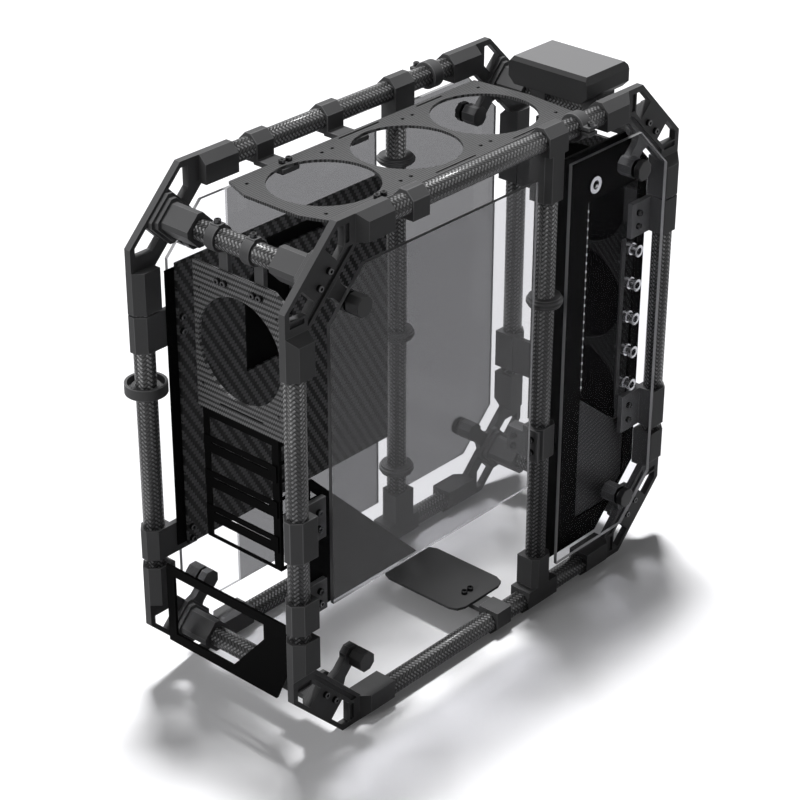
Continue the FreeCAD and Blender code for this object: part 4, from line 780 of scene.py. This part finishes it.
def tube_tree():
    tree, given, wanted = shape_tree(
        "round_tubes", Width=FLOAT, Bore=FLOAT, Sides=WHOLE, Finish=FINISH)
    bar = cylinder(tree, given["Sides"], times(tree, given["Width"], 0.5), 1.0)
    bore = cylinder(tree, given["Sides"], times(tree, given["Bore"], 0.5), BORE_DEPTH)
    length = kept_value(tree, "length", "FLOAT")
    stretch = add_node(tree, "ShaderNodeCombineXYZ", {"X": 1.0, "Y": 1.0, "Z": length})
    put_copies(tree, given, wanted, cut_from(tree, bar, bore),
               Rotation=aimed(tree), Scale=stretch.outputs["Vector"])
    return tree


def tube_run(corners):
    """The middle, direction and length of one tube, from its corners."""
    low, high = box_of(corners)
    longest = max(range(3), key=lambda axis: high[axis] - low[axis])
    look = Vector((0, 0, 0))
    look[longest] = 1.0
    return (low + high) / 2, look, high[longest] - low[longest]


def round_tubes(node, tree):
    middles, looks, lengths = zip(
        *(tube_run(corners) for corners, faces in loose_parts(solids[node].data)))
    item = point_object(node + "_round", middles, looks)
    item.data.attributes.new("length", "FLOAT", "POINT").data.foreach_set("value", lengths)
    grow(item, tree,
         {"Width": TUBE_WIDTH, "Bore": TUBE_BORE, "Sides": TUBE_SIDES, "Finish": TUBES[node]})
    for polygon in item.data.polygons:
        polygon.use_smooth = abs(polygon.normal.dot(looks[0])) < ACROSS
    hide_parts(node)
    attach(item, body_of[node])
    return item


tubes_tree = tube_tree()
tubes = [round_tubes(node, tubes_tree) for node in sorted(TUBES)]
print("tubes:", len(tubes), "faces:", sum(len(item.data.polygons) for item in tubes))

# %% [markdown]
# The distribution block carries three kinds of parts: a strip of small lights, an upright rail and
# five fittings. They share one node, so a copy of it tells them apart by their shape: the strip and
# the rail are tall, and the strip stands nearer to the rear. The fittings are bright metal and the
# rail nearly black. The raised faces of the strip get a near-white grey on a darker carrier, which
# is painted light: the material gives off none.

# %% Parts on the block
METAL_LOOK, PAINTED_LIGHT_LOOK, RAIL_LOOK, CARRIER_LOOK = range(4)
TALL = 100 * MM
STRIP_FRONT = CAGE.x + 200 * MM
RAISED = 0.8 * MM
BLOCK_LOOKS = [
    FINISHES["bright_metal"],
    # Painted light: a near-white grey on the strip's raised faces, which give off no light.
    plastic_material("light_strip", level=0.75, roughness=0.35, specular=0.5),
    plastic_material("dark_rail", level=0.02, roughness=0.4, specular=0.2),
    plastic_material("light_carrier", level=0.12, roughness=0.45, specular=0.2),
]
fittings = welded_copy("block_fittings")
fittings.name = "block_parts"
dress(fittings, *BLOCK_LOOKS)
work = bmesh.new()
work.from_mesh(fittings.data)
for group in islands(work):
    low, high = box_of([corner.co for face in group for corner in face.verts])
    kind = METAL_LOOK
    if high.z - low.z >= TALL:
        kind = PAINTED_LIGHT_LOOK if high.x < STRIP_FRONT else RAIL_LOOK
    for face in group:
        raised = face.calc_center_median().y < low.y + RAISED
        face.material_index = CARRIER_LOOK if kind == PAINTED_LIGHT_LOOK and not raised else kind
work.to_mesh(fittings.data)
work.free()
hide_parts("block_fittings")
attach(fittings, "case")
print("block parts:", len(fittings.data.polygons), "faces")

# %% [markdown]
# The studio is a white sweep. The floor is a plain matte plane that is light to camera, mirror and
# glass rays and darker to the light that bounces off it, which would grey the black parts from
# below. The same rays see a glow in it: next to nothing under the case, where it would wash out
# the grey shadow, and more with the distance, until floor and background are one white. The world
# is white to those rays too, and a dim fill to the rest.

# %% Floor and world
FLOOR_REACH = 9.0
FLOOR_DARK, FLOOR_LIGHT = 0.15, 0.86
GLOW_NEAR, GLOW_FAR = 1.2, 5.0
GLOW_LEAST, GLOW_MOST = 0.03, 1.0
WHITE = (1, 1, 1, 1)
FILL = 0.08
floor_mesh = bpy.data.meshes.new("floor")
floor_mesh.from_pydata(
    [(x * FLOOR_REACH, y * FLOOR_REACH, 0) for x, y in ((-1, -1), (1, -1), (1, 1), (-1, 1))],
    [], [(0, 1, 2, 3)])
floor = add_object("floor", floor_mesh)


def seen_directly(tree):
    """1 for camera rays, mirror rays and rays through glass, otherwise 0."""
    path = tree.nodes.new("ShaderNodeLightPath").outputs
    both = sums(tree, "MAXIMUM", path["Is Camera Ray"], path["Is Glossy Ray"])
    return sums(tree, "MAXIMUM", both, path["Is Transmission Ray"])


floor_material, tree, shader, place = new_material("floor_white")
seen = seen_directly(tree)
away = add_node(tree, "ShaderNodeVectorMath", {0: place}, operation="LENGTH").outputs["Value"]
glow = times(tree, seen, ramp(tree, away, GLOW_LEAST, GLOW_MOST, GLOW_NEAR, GLOW_FAR))
tree.links.new(mix_greys(tree, seen, FLOOR_DARK, FLOOR_LIGHT), shader.inputs["Base Color"])
tree.links.new(glow, shader.inputs["Emission Strength"])
shader.inputs["Emission Color"].default_value = WHITE
shader.inputs["Roughness"].default_value = 0.9
shader.inputs["Specular IOR Level"].default_value = 0.0
floor_mesh.materials.append(floor_material)

world = bpy.data.worlds.new("studio")
bpy.context.scene.world = world
world.use_nodes = True
tree = world.node_tree
strength = plus(tree, times(tree, seen_directly(tree), 1.0 - FILL), FILL)
tree.links.new(strength, tree.nodes["Background"].inputs["Strength"])
tree.nodes["Background"].inputs["Color"].default_value = WHITE
print("floor and world ready")

# %% [markdown]
# In the photograph the tops are light and the near faces dark, and the shadow lies round the foot of
# the case. So the main lamp is a small, strong panel high overhead, a little to the front and to the
# far side. A wide, weak panel behind the rear end lights the rear faces, and the dim world fills in
# the rest.

# %% Lamps


def panel(name, place, aim, size, watts):
    data = bpy.data.lights.new(name, "AREA")
    data.shape = "SQUARE"
    data.size = size
    data.energy = watts
    lamp = add_object(name, data)
    lamp.location = place
    lamp.rotation_euler = (Vector(aim) - Vector(place)).to_track_quat("-Z", "Y").to_euler()
    return lamp


panels = [
    panel("rear_panel", place=(-5.5, 1.2, 2.6), aim=(0, 0, 0.28), size=3.0, watts=170),
    panel("top_panel", place=(1.6, 1.9, 8.8), aim=(0, 0, 0.3), size=1.3, watts=980),
]
bpy.context.scene.view_settings.view_transform = "Standard"
print("lamps:", len(panels))
